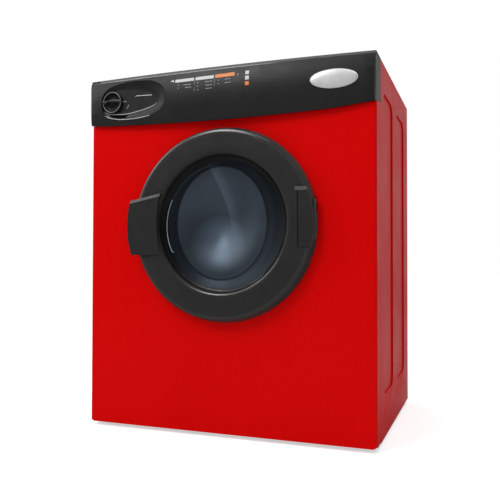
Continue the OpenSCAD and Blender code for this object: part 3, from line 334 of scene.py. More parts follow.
bakelite = surface("bakelite", (0.04, 0.022, 0.014), (0.062, 0.034, 0.022), (0.3, 0.42), 1800, 0.06,
                   mottle=60)
filterPlastic = surface("filterPlastic", (0.055, 0.085, 0.13), (0.075, 0.11, 0.165), (0.4, 0.52), 1500, 0.1,
                        mottle=30)
trimGrey = surface("trimGrey", 0.46, 0.54, (0.34, 0.42), 1200, 0.03, metallic=0.2)
# pale grey of the bead under the fascia's lip: a painted highlight
beadPaintedHighlight = surface("beadPaintedHighlight", 0.32, 0.384, (0.4, 0.5), 1200, 0.03)
inkDull = surface("inkDull", (0.3, 0.21, 0.16), (0.34, 0.24, 0.18), (0.4, 0.5), 3000, 0.05, mottle=300)
inkWhite = surface("inkWhite", (0.5, 0.51, 0.51), (0.58, 0.59, 0.59), (0.4, 0.5), 3000, 0.05, mottle=300)
inkGrey = surface("inkGrey", (0.2, 0.205, 0.205), (0.26, 0.265, 0.265), (0.4, 0.5), 3000, 0.05, mottle=300)
inkOrange = surface("inkOrange", (0.66, 0.165, 0.026), (0.74, 0.2, 0.034), (0.4, 0.5), 3000, 0.05, mottle=300)
gasketBlack = surface("gasketBlack", (0.003, 0.003, 0.0034), (0.0048, 0.0048, 0.0052), (0.3, 0.42), 900, 0.06,
                      ior=1.35, mottle=30)
lineGlass = surface("lineGlass", (0.06, 0.072, 0.08), (0.075, 0.088, 0.096), (0.3, 0.4), 900, 0.02)
# pale colour of the rib and hook on the bowl: a painted reflection
ribPaintedReflection = surface("ribPaintedReflection", (0.24, 0.28, 0.3), (0.29, 0.33, 0.35), (0.18, 0.26), 900, 0.02, mottle=60)

bowlTintAndPaintedLight = {
    # squeeze and shift of the tint, which follow the bowl's shape
    "squeeze": (0.945, 1.1), "shift": (-6, 5),
    # distance from the middle, colour: the glass's own tint, with painted reflection that makes the dish
    # lighter than the slope and lays a lighter band on the slope
    "stops": [(0, (0.033, 0.043, 0.058)), (99, (0.033, 0.043, 0.058)), (100.5, (0.006, 0.0085, 0.013)),
              (107, (0.011, 0.0145, 0.021)), (114, (0.012, 0.016, 0.023)), (121, (0.004, 0.0055, 0.008)),
              (142, (0.003, 0.004, 0.006))],
    "reach": 142,
    # a painted sheen, a curved highlight down the middle of the dish, which fades in from one height to
    # another
    "sweep": (-305.3, 367.8), "sweepReach": (300, 420), "sheenRise": (384, 424),
    "sheen": [(0, 1), (0.09, 0.92), (0.125, (2.1, 2, 2)), (0.2, (1.6, 1.55, 1.55)), (0.31, 0.85),
              (0.5, 0.6), (1, 0.5)],
    # as shares of the reach: inside the dish, what follows works in full, and the gloss is higher
    "inDish": [(0.69, 1), (0.71, 0.3)], "gloss": [(0.69, 0.85), (0.71, 0.09)],
    # painted light: the dish is lighter at its top, and a painted highlight lies round a soft spot below the
    # middle
    "paintedTopLightRise": (-25, 42), "paintedTopLight": [(0, 0.42), (1, (1.2, 1.18, 1.15))],
    "paintedHighlightPlace": (-15, -38), "paintedHighlightReach": 60,
    "paintedHighlight": [(0, (4.6, 4.9, 5.4)), (0.45, (4.1, 4.3, 4.6)), (0.8, (2.1, 2.15, 2.25)), (1, 1)],
    "haze": [(0.35, 0.75), (0.65, 1)], "hazeShare": 0.25, "roughness": (0.36, 0.41),
    "mirrorTint": (0.64, 0.82, 1, 1), "clear": 0.3, "ior": 1.62,
}


# tinted bowl of the door, with painted reflection and painted highlights: a lighter dish inside a darker
# slope, under a fine haze
def makeBowlGlass():
    spec = bowlTintAndPaintedLight
    material, tree, shader, coords = newMaterial("bowlGlass")
    axes = addNode(tree, "SeparateXYZ", {"Vector": coords}).outputs
    flat = addNode(tree, "CombineXYZ", {"X": axes["X"], "Y": axes["Z"]}).outputs["Vector"]

    def distance(vector, x, z):
        return addNode(tree, "VectorMath", {0: vector, 1: (x, z, 0)}, operation="DISTANCE").outputs["Value"]

    def risen(low, high):
        return addRange(tree, axes["Z"], 0, 1, skirtZ + low * mm, skirtZ + high * mm)

    (wide, tall), (shiftX, shiftZ) = spec["squeeze"], spec["shift"]
    squeezed = addNode(tree, "VectorMath", {0: flat, 1: (1 / wide, 1 / tall, 0)}, operation="MULTIPLY")
    away = distance(squeezed.outputs["Vector"], shiftX * mm / wide, (skirtZ + (doorZ + shiftZ) * mm) / tall)
    share = addRange(tree, away, 0, 1, 0, spec["reach"] * mm)
    tint = addRamp(tree, share, [(radius / spec["reach"], colour) for radius, colour in spec["stops"]])
    inDish = addRamp(tree, share, spec["inDish"])
    sweepX, sweepZ = spec["sweep"]
    beyond = addRange(tree, distance(flat, sweepX * mm, skirtZ + sweepZ * mm), 0, 1,
                      *[reach * mm for reach in spec["sweepReach"]])
    # painted sheen down the middle of the dish
    tint = addTint(tree, tint, addRamp(tree, beyond, spec["sheen"]), risen(*spec["sheenRise"]))
    # painted light: darker low in the dish, lighter at its top
    drop = risen(*[doorZ + z for z in spec["paintedTopLightRise"]])
    tint = addTint(tree, tint, addRamp(tree, drop, spec["paintedTopLight"]), inDish)
    # painted highlight round a soft spot below the middle
    patchX, patchZ = spec["paintedHighlightPlace"]
    near = distance(flat, patchX * mm, skirtZ + (doorZ + patchZ) * mm)
    within = addRange(tree, near, 0, 1, 0, spec["paintedHighlightReach"] * mm)
    tint = addTint(tree, tint, addRamp(tree, within, spec["paintedHighlight"]), inDish)
    haze = addRamp(tree, addNoise(tree, coords, 9, 3), spec["haze"])
    tint = addTint(tree, tint, haze, spec["hazeShare"])
    fill(tree, shader, {"Base Color": tint, "Specular IOR Level": addRamp(tree, share, spec["gloss"]),
                        "Roughness": addRange(tree, addNoise(tree, coords, 30, 3), *spec["roughness"]),
                        "Specular Tint": spec["mirrorTint"], "Transmission Weight": spec["clear"],
                        "IOR": spec["ior"]})
    return material


bowlGlass = makeBowlGlass()

# finishes of the CAD nodes
nodeFinishes = [
    (galvanised, "front_bulkhead mouth_throat bulkhead_collar rear_bulkhead heater_housing motor_bracket "
                 "rear_panel base_pan"),
    (redEnamel, "side_panel_left side_panel_right front_panel top_panel"),
    (blackSatin, "fascia"),
    (dialPlastic, "dial_panel exhaust_collar cable_gland timer_knob"),
    (silverOval, "badge_plate"),
    (slotBlack, "pilot_lens"),
    (whiteNylon, "timer_body door_catch terminal_block capacitor door_strike jockey_pulley"),
    (woolFelt, "felt_seals"),
    (sinteredIron, "drum_bearing"),
    (heaterSheath, "heater_element"),
    (bakelite, "thermostats"),
    (castMetal, "motor_body"),
    (ductPlastic, "fan_housing lint_duct exhaust_duct fan_impeller"),
    (blackEnamel, "hinge_bracket hinge_pin"),
    (platedSteel, "panel_screws door_screws drum_shaft motor_shaft motor_pulley jockey_arm tension_spring "
                  "timer_spindle"),
    (blackRubber, "drive_belt door_seal foot_front_left foot_front_right foot_rear_left foot_rear_right"),
    (doorSatin, "door_frame door_handle hinge_block"),
    (ringBack, "door_back_ring drum_lifters"),
    (bowlGlass, "door_glass"),
    (drumSteel, "drum_shell drum_front drum_back"),
    (filterPlastic, "lint_filter"),
]
for finish, names in nodeFinishes:
    for nodeName in names.split():
        nodes[nodeName].data.materials.clear()
        nodes[nodeName].data.materials.append(finish)
print("finishes ready")


doorRing = {
    "profile": [(187.4, -1), (188.6, -1.4), (188.6, -3.4), (188.2, -5), (187.4, -9), (186.2, -13.6),
                (185.2, -16.6), (183.9, -18.9), (182, -20.6), (179.6, -21.6), (176.8, -22), (170, -22),
                (150, -22), (139.6, -21.9), (137, -21.4), (135, -20.2), (133.4, -18.3), (132.5, -16),
                (132.2, -13.4), (132.2, -10.2), (142.4, -10.2), (142.4, -6.2), (187, -6.2)],
    "centreX": 1.7, "windowShift": (0.4, 2), "windowWithin": (142, -9.5),
    "pocket": [(-200, -18, 359.5), (-169, 1, 447.5)],
    "gasket": [(132.6, -13.5), (131.8, -13.8), (131.2, -13.2), (130.6, -11.6), (128.5, -9.4), (125, -7.6),
               (124, -6.6), (131, -9.9), (132.6, -10.3)],
    # other finishes start at a reach and depth on the outer wall, also from an x and z on its upper right,
    # where a lighter copy of the wall's finish paints a highlight, and at a reach and x on the dull right of
    # the front
    "wallFrom": (185, -16.2), "paintedHighlightFrom": (184.6, -18.6, 60, -30), "dullFrom": (180.5, 100),
    # rounded edges of the front: from, to, upper end as a share of the reach
    "edges": [(176.9, 186, 2), (132.6, 137.6, -0.45)], "edgeDepth": -14,
}


def makeDoorRing():
    spec = doorRing
    middle = at(spec["centreX"], 0, doorZ)
    ringShape, gasketShape = [spunProfile(spec[key], spec["centreX"], doorZ, 192)
                              for key in ("profile", "gasket")]
    within, behind = spec["windowWithin"]
    for vert in ringShape.verts[:] + gasketShape.verts[:]:
        place = vert.co - middle
        if math.hypot(place.x, place.z) < within * mm and place.y < behind * mm:
            vert.co += Vector((spec["windowShift"][0] * mm, 0, spec["windowShift"][1] * mm))
    ring = makePiece("door_ring", ringShape, doorSatin, "door", ["door_frame"])
    cutBox(ring, *spec["pocket"])
    for finish in (wallSatin, edgeSatin, wallPaintedHighlight):
        ring.data.materials.append(finish)
    wallReach, wallDepth = spec["wallFrom"]
    lightReach, lightDepth, lightX, lightZ = spec["paintedHighlightFrom"]
    dullReach, dullX = spec["dullFrom"]
    for face in ring.data.polygons:
        place = (face.center - middle) / mm
        reach = math.hypot(place.x, place.z)
        # the outer wall's upper right gets the lighter copy, a painted highlight
        if reach > lightReach and place.y > lightDepth and place.x > lightX and place.z > lightZ:
            face.material_index = 3
        elif reach > wallReach and place.y > wallDepth or reach > dullReach and place.x > dullX:
            face.material_index = 1
        elif place.y < spec["edgeDepth"] and any(low < reach < high and place.z < top * reach
                                                 for low, high, top in spec["edges"]):
            face.material_index = 2
    makePiece("window_gasket", gasketShape, gasketBlack, "door", (), 40)


# gives the faces that tilt up towards the front a shinier finish
def shinyFacets(piece):
    piece.data.materials.append(edgeSatin)
    for face in piece.data.polygons:
        if face.normal.z > 0.28 and face.normal.y < -0.5:
            face.material_index = 1


doorHandle = {
    "inner": 131, "outer": 194.4, "innerBend": 240, "start": -32, "sweep": 64,
    "front": -31, "back": -19, "lowRight": -22.5, "facet": 6, "facetDrop": 2.6, "edge": 1.2,
    "topLeft": (-201, 451.5), "topRight": (-101, 471.7), "low": 345.4,
}


# depth of the wedge-shaped pull at a point of its front
def handleY(x, z):
    spec = doorHandle
    across = (x + spec["outer"]) / (spec["outer"] - spec["inner"])
    down = (spec["topRight"][1] - z) / (spec["topRight"][1] - spec["low"])
    share = clamp(across) * (0.35 + 0.65 * clamp(down))
    return spec["front"] + (spec["lowRight"] - spec["front"]) * share


def makeDoorHandle():
    spec = doorHandle
    bm = bmesh.new()
    centre = at(0, spec["back"], doorZ)
    turn = Matrix.Rotation(math.radians(spec["start"]), 4, "Y")
    verts = [bm.verts.new(centre + turn @ Vector((-r * mm, 0, 0))) for r in (spec["inner"], spec["outer"])]
    edge = bm.edges.new(verts)
    bmesh.ops.spin(bm, geom=verts + [edge], cent=centre, axis=(0, 1, 0), dvec=(0, 0, 0),
                   angle=math.radians(spec["sweep"]), steps=32, use_merge=False, use_duplicate=False)
    # the edge beside the window is flatter than the window
    for vert in bm.verts:
        x, z = vert.co.x / mm, (vert.co.z - skirtZ) / mm - doorZ
        if math.hypot(x, z) < spec["inner"] + 1:
            vert.co.x = (-spec["inner"] + z * z / (2 * spec["innerBend"])) * mm
    left, right = [at(x, 0, z) for x, z in (spec["topLeft"], spec["topRight"])]
    along = (right - left).normalized()
    up = Vector((-along.z, 0, along.x))
    splitAt(bm, left, up, True)
    splitAt(bm, left - up * spec["facet"] * mm, up)
    splitAt(bm, at(0, 0, spec["low"]), (0, 0, -1), True)
    for vert in raisedVerts(bm):
        x, z = vert.co.x / mm, (vert.co.z - skirtZ) / mm
        drop = max(0, spec["facet"] + (vert.co - left).dot(up) / mm) / spec["facet"] * spec["facetDrop"]
        vert.co.y = frontY + (handleY(x, z) + drop) * mm
    handle = makePiece("door_grip", bm, doorSatin, "door", ["door_handle"], 15)
    shinyFacets(handle)
    addBevel(handle, spec["edge"])


hingeCover = {
    "left": 152.2, "low": 358.5, "high": 470, "outer": 187.6, "front": -26.6, "frontLow": -22.5, "back": -16,
    "facet": 7.2, "facetDrop": 2.15, "edge": 0.9,
    # left, right, lower and upper edge of each dark box that paints the shade in a gap of the cover
    "slitShades": [(157.2, 159.2, 361.5, 461.5), (153.6, 177.4, 359.2, 359.9)],
    "slitDepth": (-34, -20), "slitProud": 0.25,
    # x, y, radius, lower and upper end; two corners; half the width, depth and clear ends
    "barrel": (188, -14, 2.3, 380, 447), "leaf": [(178.5, -2.6, 374), (186, 0, 453)], "web": (0.9, 13, 2),
}


# depth of the hinge cover's sloping front at a height
def coverY(z):
    spec = hingeCover
    share = (z - spec["low"]) / (spec["high"] - spec["low"])
    return spec["frontLow"] + (spec["front"] - spec["frontLow"]) * share


def makeHinge():
    spec = hingeCover
    bm = bmesh.new()
    rows = 24
    columns = []
    for i in range(rows + 1):
        z = spec["low"] + (spec["high"] - spec["low"]) * i / rows
        reach = math.sqrt(spec["outer"] ** 2 - (z - doorZ) ** 2)
        columns.append([bm.verts.new(at(x, spec["back"], z)) for x in (spec["left"], reach)])
    for a, b in zip(columns, columns[1:]):
        bm.faces.new((a[0], a[1], b[1], b[0]))
    # the rows are merged, apart from the facet at the top
    facetLow = spec["high"] - spec["facet"]
    splitAt(bm, at(0, 0, facetLow), (0, 0, 1))
    bmesh.ops.dissolve_limit(bm, angle_limit=math.radians(0.5), verts=bm.verts, edges=bm.edges)
    splitAt(bm, at(0, 0, facetLow), (0, 0, 1))
    for vert in raisedVerts(bm):
        z = (vert.co.z - skirtZ) / mm
        drop = max(0, z - facetLow) / spec["facet"] * spec["facetDrop"]
        vert.co.y = frontY + (coverY(z) + drop) * mm
    cover = makePiece("hinge_cover", bm, doorSatin, "door", ["hinge_block"], 15)
    shinyFacets(cover)
    # the cover's right side gets the lighter copy, a painted highlight
    cover.data.materials.append(wallPaintedHighlight)
    for face in cover.data.polygons:
        if face.normal.x > 0.5:
            face.material_index = 2
    addBevel(cover, spec["edge"])
    # black boxes just proud of the cover paint the shade in the cover's gaps
    bm = bmesh.new()
    slitFront, slitBack = spec["slitDepth"]
    for left, right, low, high in spec["slitShades"]:
        addBox(bm, (left, slitFront, low), (right, slitBack, high))
    for vert in bm.verts:
        if vert.co.y < frontY + spec["front"] * mm:
            vert.co.y = frontY + (coverY((vert.co.z - skirtZ) / mm) - spec["slitProud"]) * mm
    makePiece("hinge_slit_shade", bm, gasketBlack, "door", ())
    x, y, radius, low, high = spec["barrel"]
    bm = bmesh.new()
    bmesh.ops.create_cone(bm, cap_ends=True, cap_tris=False, segments=48, radius1=radius * mm,
                          radius2=radius * mm, depth=(high - low) * mm)
    bmesh.ops.translate(bm, vec=at(x, y, (low + high) / 2), verts=bm.verts)
    # the barrel's lighter finish is a painted highlight
    barrel = makePiece("hinge_barrel", bm, wallPaintedHighlight, "cabinet", ["hinge_pin"], 40)
    addBevel(barrel, 1.4, 4, 40)
    # the leaf lies on the cabinet, and a web joins it to the barrel
    half, deep, clear = spec["web"]
    bm = bmesh.new()
    addBox(bm, *spec["leaf"])
    addBox(bm, (x - half, y, low + clear), (x + half, y + deep, high - clear))
    leaf = makePiece("hinge_leaf", bm, blackEnamel, "cabinet", ["hinge_bracket"], 40)
    addBevel(leaf, 0.4, 2, 40)


doorBowl = {
    "front": [(141.8, -9.9), (133.4, -9.9), (130.6, -9.3), (128.4, -7.8), (122, -4), (114, 0.2), (106, 4.2),
              (103.4, 5.4), (101.4, 5.9), (99.4, 6.4)],
    # radius, slope of the hazed dish
    "slopes": [(99.4, 0.06), (92, 0.12), (84, 0.21), (76, 0.29), (68, 0.35), (60, 0.385), (52, 0.4),
               (44, 0.4), (36, 0.38), (28, 0.33), (20, 0.25), (12, 0.15), (5, 0.06), (0, 0)],
    "dishEdge": 6.4, "wall": 1.6,
    # the dish is narrower, taller and shifted, more and more from one radius to another
    "narrow": 0.055, "tall": 0.1, "shiftX": -6, "shiftZ": 5, "morphFrom": 131, "morphTo": 103,
    "arcRadius": 119, "arcY": -3.4, "arcHalf": 26, "arcThick": 0.95,
    "hook": [(-106.9, -3.8, 351.3), (-104.6, -3.3, 351.2), (-102.6, -2.4, 351.6)],
    # radius, y, start, sweep, thickness
    "line": (118.6, -2.9, 100, 80, 0.34),
}


def makeDoorBowl():
    spec = doorBowl
    front = list(spec["front"])
    depth = spec["dishEdge"]
    for (r0, slope0), (r1, slope1) in zip(spec["slopes"], spec["slopes"][1:]):
        depth += (r0 - r1) * (slope0 + slope1) / 2
        front.append((r1, depth))
    back = [(r, y + spec["wall"]) for r, y in reversed(front)]
    bm = spunProfile(front + back, 0, doorZ, 160)
    bmesh.ops.remove_doubles(bm, verts=bm.verts, dist=1e-5)
    for vert in bm.verts:
        x, z = vert.co.x / mm, (vert.co.z - skirtZ) / mm - doorZ
        share = clamp((spec["morphFrom"] - math.hypot(x, z)) / (spec["morphFrom"] - spec["morphTo"]))
        vert.co.x += (spec["shiftX"] - x * spec["narrow"]) * share * mm
        vert.co.z += (spec["shiftZ"] + z * spec["tall"]) * share * mm
    makePiece("door_bowl", bm, bowlGlass, "door", ["door_glass"], 14)
    # moulded rib at the left of the slope; its pale colour, and the hook's, is a painted reflection
    thick = spec["arcThick"]
    section = [(spec["arcRadius"] + thick * math.cos(a * math.pi / 4),
                spec["arcY"] + thick * math.sin(a * math.pi / 4)) for a in range(8)]
    bm = spunProfile(section, 0, doorZ, 40, 2 * spec["arcHalf"], 180 - spec["arcHalf"])
    bmesh.ops.holes_fill(bm, edges=bm.edges, sides=8)
    makePiece("bowl_rib", bm, ribPaintedReflection, "door", (), 60)
    makePiece("bowl_hook", sweptBead(spec["hook"], 1), ribPaintedReflection, "door", (), 60)
    # fine moulding line above the rib
    radius, y, start, sweep, thick = spec["line"]
    line = []
    for i in range(41):
        angle = math.radians(start + sweep * i / 40)
        line.append((radius * math.cos(angle), y, doorZ + radius * math.sin(angle)))
    makePiece("bowl_line", sweptBead(line, thick), lineGlass, "door", (), 60)


makeDoorRing()
makeDoorHandle()
makeHinge()
makeDoorBowl()
softened("door_back_ring", ringBack, 0.5, 2, body="door")
print("door ready")

fasciaShape = {
    "middle": 658.25, "radius": 138.9, "bulge": 13, "bow": 10, "halfWidth": 297.5,
    "lipFrom": 704.9, "lipRise": 0.5, "lipStep": 2.2, "lipBack": 12, "lipLeft": -272, "bowFrom": (6, 30),
    "columns": 28, "rows": (650, 640, 630, 620, 612),
    # rise of the lower edge at its ends: from x, to x, height
    "rises": [(205, 297.5, 7), (-262, -297.5, 2)], "riseFrom": (650, 606.5),
    # the lower corners are drawn in
    "cornerFrom": 650, "cornerX": 291, "cornerDepth": 20, "corner": 2.4,
    "returnFrom": 285, "returnRise": 14, "returnDepth": 48, "bead": (-291, 120, 703.9, 1),
}


# front surface of the fascia, which bulges over its height and bows over its width
def bulgeY(x, z):
    drop = math.sqrt(fasciaShape["radius"] ** 2 - (z - fasciaShape["middle"]) ** 2)
    bow = fasciaShape["bow"] * (1 - (x / fasciaShape["halfWidth"]) ** 2)
    return fasciaShape["radius"] - fasciaShape["bulge"] - drop - bow


# height of a point near the fascia's lower edge, which rises at its ends and along its returns
def liftedZ(x, y, z):
    spec = fasciaShape
    high, low = spec["riseFrom"]
    lift = 0
    for start, end, height in spec["rises"]:
        lift += height * clamp((x - start) / (end - start)) ** 1.4
    if abs(x) > spec["returnFrom"]:
        lift += spec["returnRise"] * clamp(y / spec["returnDepth"])
    return z + lift * clamp((high - z) / (high - low)) ** 2


def makeFascia():
    spec = fasciaShape
    piece = softened("fascia", blackSatin, 0.9, 3, 35)
    bm = bmesh.new()
    bm.from_mesh(piece.data)
    for z in (spec["lipFrom"], spec["lipFrom"] + spec["lipRise"], *spec["rows"]):
        splitAt(bm, at(0, 0, z), (0, 0, 1))
    for i in range(1, spec["columns"]):
        splitAt(bm, at(spec["halfWidth"] * (2 * i / spec["columns"] - 1), 0, 0), (1, 0, 0))
    lipY = bulgeY(spec["halfWidth"], spec["lipFrom"]) + spec["lipStep"]
    near, far = spec["bowFrom"]
    for vert in bm.verts:
        place = placeOf(vert.co)
        x, y, z = place
        if z > spec["lipFrom"] + spec["lipRise"] / 2 and y < spec["lipBack"]:
            y = max(y, lipY)
        y -= spec["bow"] * (1 - (x / spec["halfWidth"]) ** 2) * clamp((far - place.y) / (far - near))
        if abs(x) > spec["cornerX"]:
            low = max(0, spec["cornerFrom"] - z) / (spec["cornerFrom"] - spec["riseFrom"][1])
            x -= math.copysign(spec["corner"] * low ** 2 * (1 - clamp(place.y / spec["cornerDepth"])), x)
        vert.co = at(x, y, liftedZ(place.x, place.y, z))
    bm.to_mesh(piece.data)
    bm.free()
    shadeSmooth(piece.data, 35)
    piece.data.materials.append(returnSatin)
    # the lip's lighter finish is a painted reflection of the top edge
    piece.data.materials.append(lipPaintedReflection)
    for face in piece.data.polygons:
        if abs(face.normal.x) > 0.6:
            face.material_index = 1
        elif (placeOf(face.center).z > spec["lipFrom"] + spec["lipRise"] and face.normal.y < -0.15
              and face.center.x > spec["lipLeft"] * mm):
            face.material_index = 2
    # a pale bead below the lip paints the highlight line of the fascia's top edge
    start, end, z, thick = spec["bead"]
    places = [start + (end - start) * i / 30 for i in range(31)]
    line = [(x, bulgeY(x, z) + 0.2, z) for x in places]
    makePiece("fascia_highlight_bead", sweptBead(line, thick), beadPaintedHighlight, "cabinet", (), 60)


dialDish = {
    # share of the way from the outer rim to the floor, share of the depth
    "steps": [(0, 0), (0.03, 0.1), (0.08, 0.24), (0.3, 0.5), (0.6, 0.76), (0.85, 0.93), (0.97, 1),
              (1.03, 1)],
    "centre": (-197, 660),
    "outer": [(-114.6, 660), (-115.6, 651), (-120, 642.7), (-128, 635.5), (-139, 630.3), (-152, 626.2),
              (-169.5, 623.6), (-190.9, 622.4), (-208.5, 622.2), (-226, 623.3), (-241.3, 625.8),
              (-253.2, 629.9), (-261.6, 635.7), (-265.7, 643.4), (-267.3, 652.9), (-267.4, 662.3),
              (-266, 672), (-262.5, 679.7), (-255.4, 686.8), (-244.4, 692.6), (-229.3, 696.5),
              (-214.2, 698.6), (-196.8, 699.6), (-179.3, 699.4), (-161.9, 698), (-145.5, 695.1),
              (-133.4, 690.5), (-124.7, 684.1), (-118.5, 675.8), (-115.2, 667.5)],
    "floor": [(-140.9, 652.1), (-149.6, 647.3), (-165.2, 643.1), (-182, 639.5), (-199, 636.8),
              (-216.1, 635.6), (-237.8, 636.3), (-250.9, 638.9), (-259, 643.4), (-262.6, 650.4),
              (-264, 658.2), (-263.6, 665.8), (-261, 673.3), (-255.5, 679), (-246, 682.8), (-229.4, 684.7),
              (-212.1, 684.5), (-190.7, 683.1), (-173.8, 680.9), (-161.2, 677.5), (-149.7, 671.8),
              (-142, 664.2), (-139, 657.4)],
    "floorY": -8, "rimProud": 0.15, "wall": 1.4, "segments": 160,
}


# distance from the centre to a closed outline, at an angle
def outlineReach(points, centre, angle):
    whole = 2 * math.pi
    polar = sorted((math.atan2(z - centre[1], x - centre[0]) % whole,
                    math.hypot(x - centre[0], z - centre[1])) for x, z in points)
    polar = [(a - whole, r) for a, r in polar[-2:]] + polar + [(a + whole, r) for a, r in polar[:2]]
    angle %= whole
    for k in range(1, len(polar) - 2):
        (a0, r0), (a1, r1) = polar[k], polar[k + 1]
        if a0 <= angle <= a1:
            t = (angle - a0) / (a1 - a0)
            before = (r1 - polar[k - 1][1]) / (a1 - polar[k - 1][0]) * (a1 - a0)
            after = (polar[k + 2][1] - r0) / (polar[k + 2][0] - a0) * (a1 - a0)
            return (r0 * (2 * t ** 3 - 3 * t * t + 1) + before * (t ** 3 - 2 * t * t + t)
                    + r1 * (3 * t * t - 2 * t ** 3) + after * (t ** 3 - t * t))
    return polar[1][1]


# reach of the dial's rim and of its floor at an angle, and the rim's depth
def dishRim(angle):
    centreX, centreZ = centre = dialDish["centre"]
    outer, floor = [outlineReach(dialDish[key], centre, angle) for key in ("outer", "floor")]
    return outer, floor, bulgeY(centreX + outer * math.cos(angle), centreZ + outer * math.sin(angle))


# depth of the dial's dish at a point
def dishY(x, z):
    spec = dialDish
    across, up = x - spec["centre"][0], z - spec["centre"][1]
    outer, floor, top = dishRim(math.atan2(up, across))
    share = (outer - math.hypot(across, up)) / (outer - floor)
    depth = 1
    for (s0, d0), (s1, d1) in zip(spec["steps"], spec["steps"][1:]):
        if s0 <= share <= s1:
            depth = d0 + (d1 - d0) * (share - s0) / (s1 - s0)
            break
    return top + (spec["floorY"] - top) * depth


def makeDialDish():
    spec = dialDish
    bm = bmesh.new()
    centreX, centreZ = spec["centre"]
    rows = []
    for share, depth in spec["steps"]:
        row = []
        for i in range(spec["segments"]):
            angle = 2 * math.pi * i / spec["segments"]
            outer, floor, top = dishRim(angle)
            reach = outer + (floor - outer) * share
            x, z = centreX + reach * math.cos(angle), centreZ + reach * math.sin(angle)
            top -= spec["rimProud"]
            row.append(bm.verts.new(at(x, top + (spec["floorY"] - top) * depth, z)))
        rows.append(row)
    bridgeRings(bm, rows)
    bm.faces.new(rows[-1])
    dish = makePiece("dial_dish", bm, dialPlastic, "cabinet", ["dial_panel"], 50)
    addWall(dish, spec["wall"], 1)


# thin printed or inlaid shapes lying on a surface
def printedMarks(name, shapes, material, depthAt, replaces=(), proud=0.3, sunk=0.4):
    bm = bmesh.new()
    for shape in shapes:
        front = [bm.verts.new(at(x, depthAt(x, z) - proud, z)) for x, z in shape]
        back = [bm.verts.new(at(x, depthAt(x, z) + sunk, z)) for x, z in shape]
        bm.faces.new(front)
        bm.faces.new(back[::-1])
        for k in range(len(shape)):
            n = (k + 1) % len(shape)
            bm.faces.new((front[k], back[k], back[n], front[n]))
    makePiece(name, bm, material, "cabinet", replaces, 30)


dialTrims = {
    "inner": [(-262, 641.5), (-253.5, 637.9), (-245, 636.5), (-237.1, 635.7), (-226, 634.9), (-215.5, 634.5),
              (-207, 634.9), (-198.4, 635.9), (-190, 637.3), (-181.4, 638.8), (-173, 640.4), (-164.6, 642.4),
              (-156.5, 644.5), (-149, 646.8), (-142.8, 650.2), (-140, 653.6)],
    "outer": [(-264.9, 640), (-259.3, 634.2), (-250.8, 629.2), (-241, 626.2), (-225.7, 623.5), (-206, 622.3),
              (-186.3, 622.6), (-168.9, 623.9), (-153.8, 626), (-142, 628.8)],
    "slot": [(-250, 634.9), (-243, 634.2), (-236, 633.8), (-222, 632.8), (-207.5, 632), (-212.5, 627.2),
             (-224, 627), (-233, 627.9), (-241, 629.6), (-247, 632.2)],
    "leader": [[(-196.2, 664.4), (-194.8, 665), (-188.6, 670.9), (-189.2, 669.6)],
               [(-189.2, 669.6), (-188.6, 670.9), (-152.6, 669.9), (-152.6, 668.6)]],
    "thick": 0.85, "proud": {"inner": 0.6, "outer": 0.2},
    "dashes": [[(-218.9, 660.4), (-210.9, 660.3), (-210.9, 661.9), (-218.9, 662)]],
    "paleDash": [[(-206.3, 654), (-204.6, 653.9), (-208.8, 646.1), (-210.6, 646.3)]],
}


def makeDialTrims():
    spec = dialTrims
    for side, proud in spec["proud"].items():
        line = [(x, dishY(x, z) - proud, z) for x, z in spec[side]]
        bead = sweptBead(line, spec["thick"])
        makePiece("dial_trim_" + side, bead, trimGrey, "cabinet", (), 60)
    printedMarks("dial_slot", [spec["slot"]], slotBlack, dishY, ["pilot_lens"], 1.1, -0.3)
    printedMarks("dial_leader", spec["leader"], inkWhite, dishY)
    printedMarks("dial_mark", spec["dashes"], inkDull, dishY)
    printedMarks("dial_mark_pale", spec["paleDash"], inkGrey, dishY)


# printed shapes on the fascia: bars, short rows of marks and three squares
legend = {
    "white": [[(-93.8, 684.9), (-93.8, 690.9), (-52.8, 691.2), (-52.2, 685.2)],
              [(-49.4, 685.2), (-49.4, 691.4), (-11.3, 691.9), (-10.7, 685.3)],
              [(54.2, 686.6), (54.2, 693.8), (61.6, 693.8), (61.6, 686.6)],
              [(54.4, 675.9), (54.4, 683.4), (62, 683.2), (62, 675.7)],
              [(-104.2, 689), (-97.4, 691.6), (-97, 685.9)]],
    "orange": [[(-8.2, 685.5), (-8.2, 692.2), (32, 693.6), (32.8, 686.2)],
               [(54.6, 665), (54.6, 672.3), (62.2, 672.1), (62.2, 664.8)]],
    "grey": [[(-51.2, 664), (-51.2, 683), (-50.6, 683), (-50.6, 664)],
             [(-8.7, 669.6), (-8.7, 683.6), (-8.1, 683.6), (-8.1, 669.6)],
             [(38.2, 685.8), (38.2, 690), (40, 690), (40, 685.8)]],
    # start x, lengths, height
    "rows": [(-87.6, (2.6,), 679.4), (-87.6, (2.6,), 673.2), (-75, (9, 5), 678.3), (-71, (8, 4), 672.6),
             (-45.8, (3,), 680), (-45.6, (3,), 672.8), (-45, (3,), 665.6), (-29, (9, 5), 680),
             (-27, (8, 4), 673), (-27, (8, 4), 666.4), (-2, (2.6,), 680.4), (-1.6, (2.6,), 673.2),
             (13, (6, 4), 681), (13, (7, 4), 674)],
    "rowHalf": 0.8, "rowGap": 1.4,
}


def makeLegend():
    printedMarks("legend_white", legend["white"], inkWhite, bulgeY)
    printedMarks("legend_orange", legend["orange"], inkOrange, bulgeY)
    marks = list(legend["grey"])
    for x, lengths, z in legend["rows"]:
        low, high = z - legend["rowHalf"], z + legend["rowHalf"]
        for length in lengths:
            marks.append([(x, low), (x, high), (x + length, high), (x + length, low)])
            x += length + legend["rowGap"]
    printedMarks("legend_grey", marks, inkGrey, bulgeY)


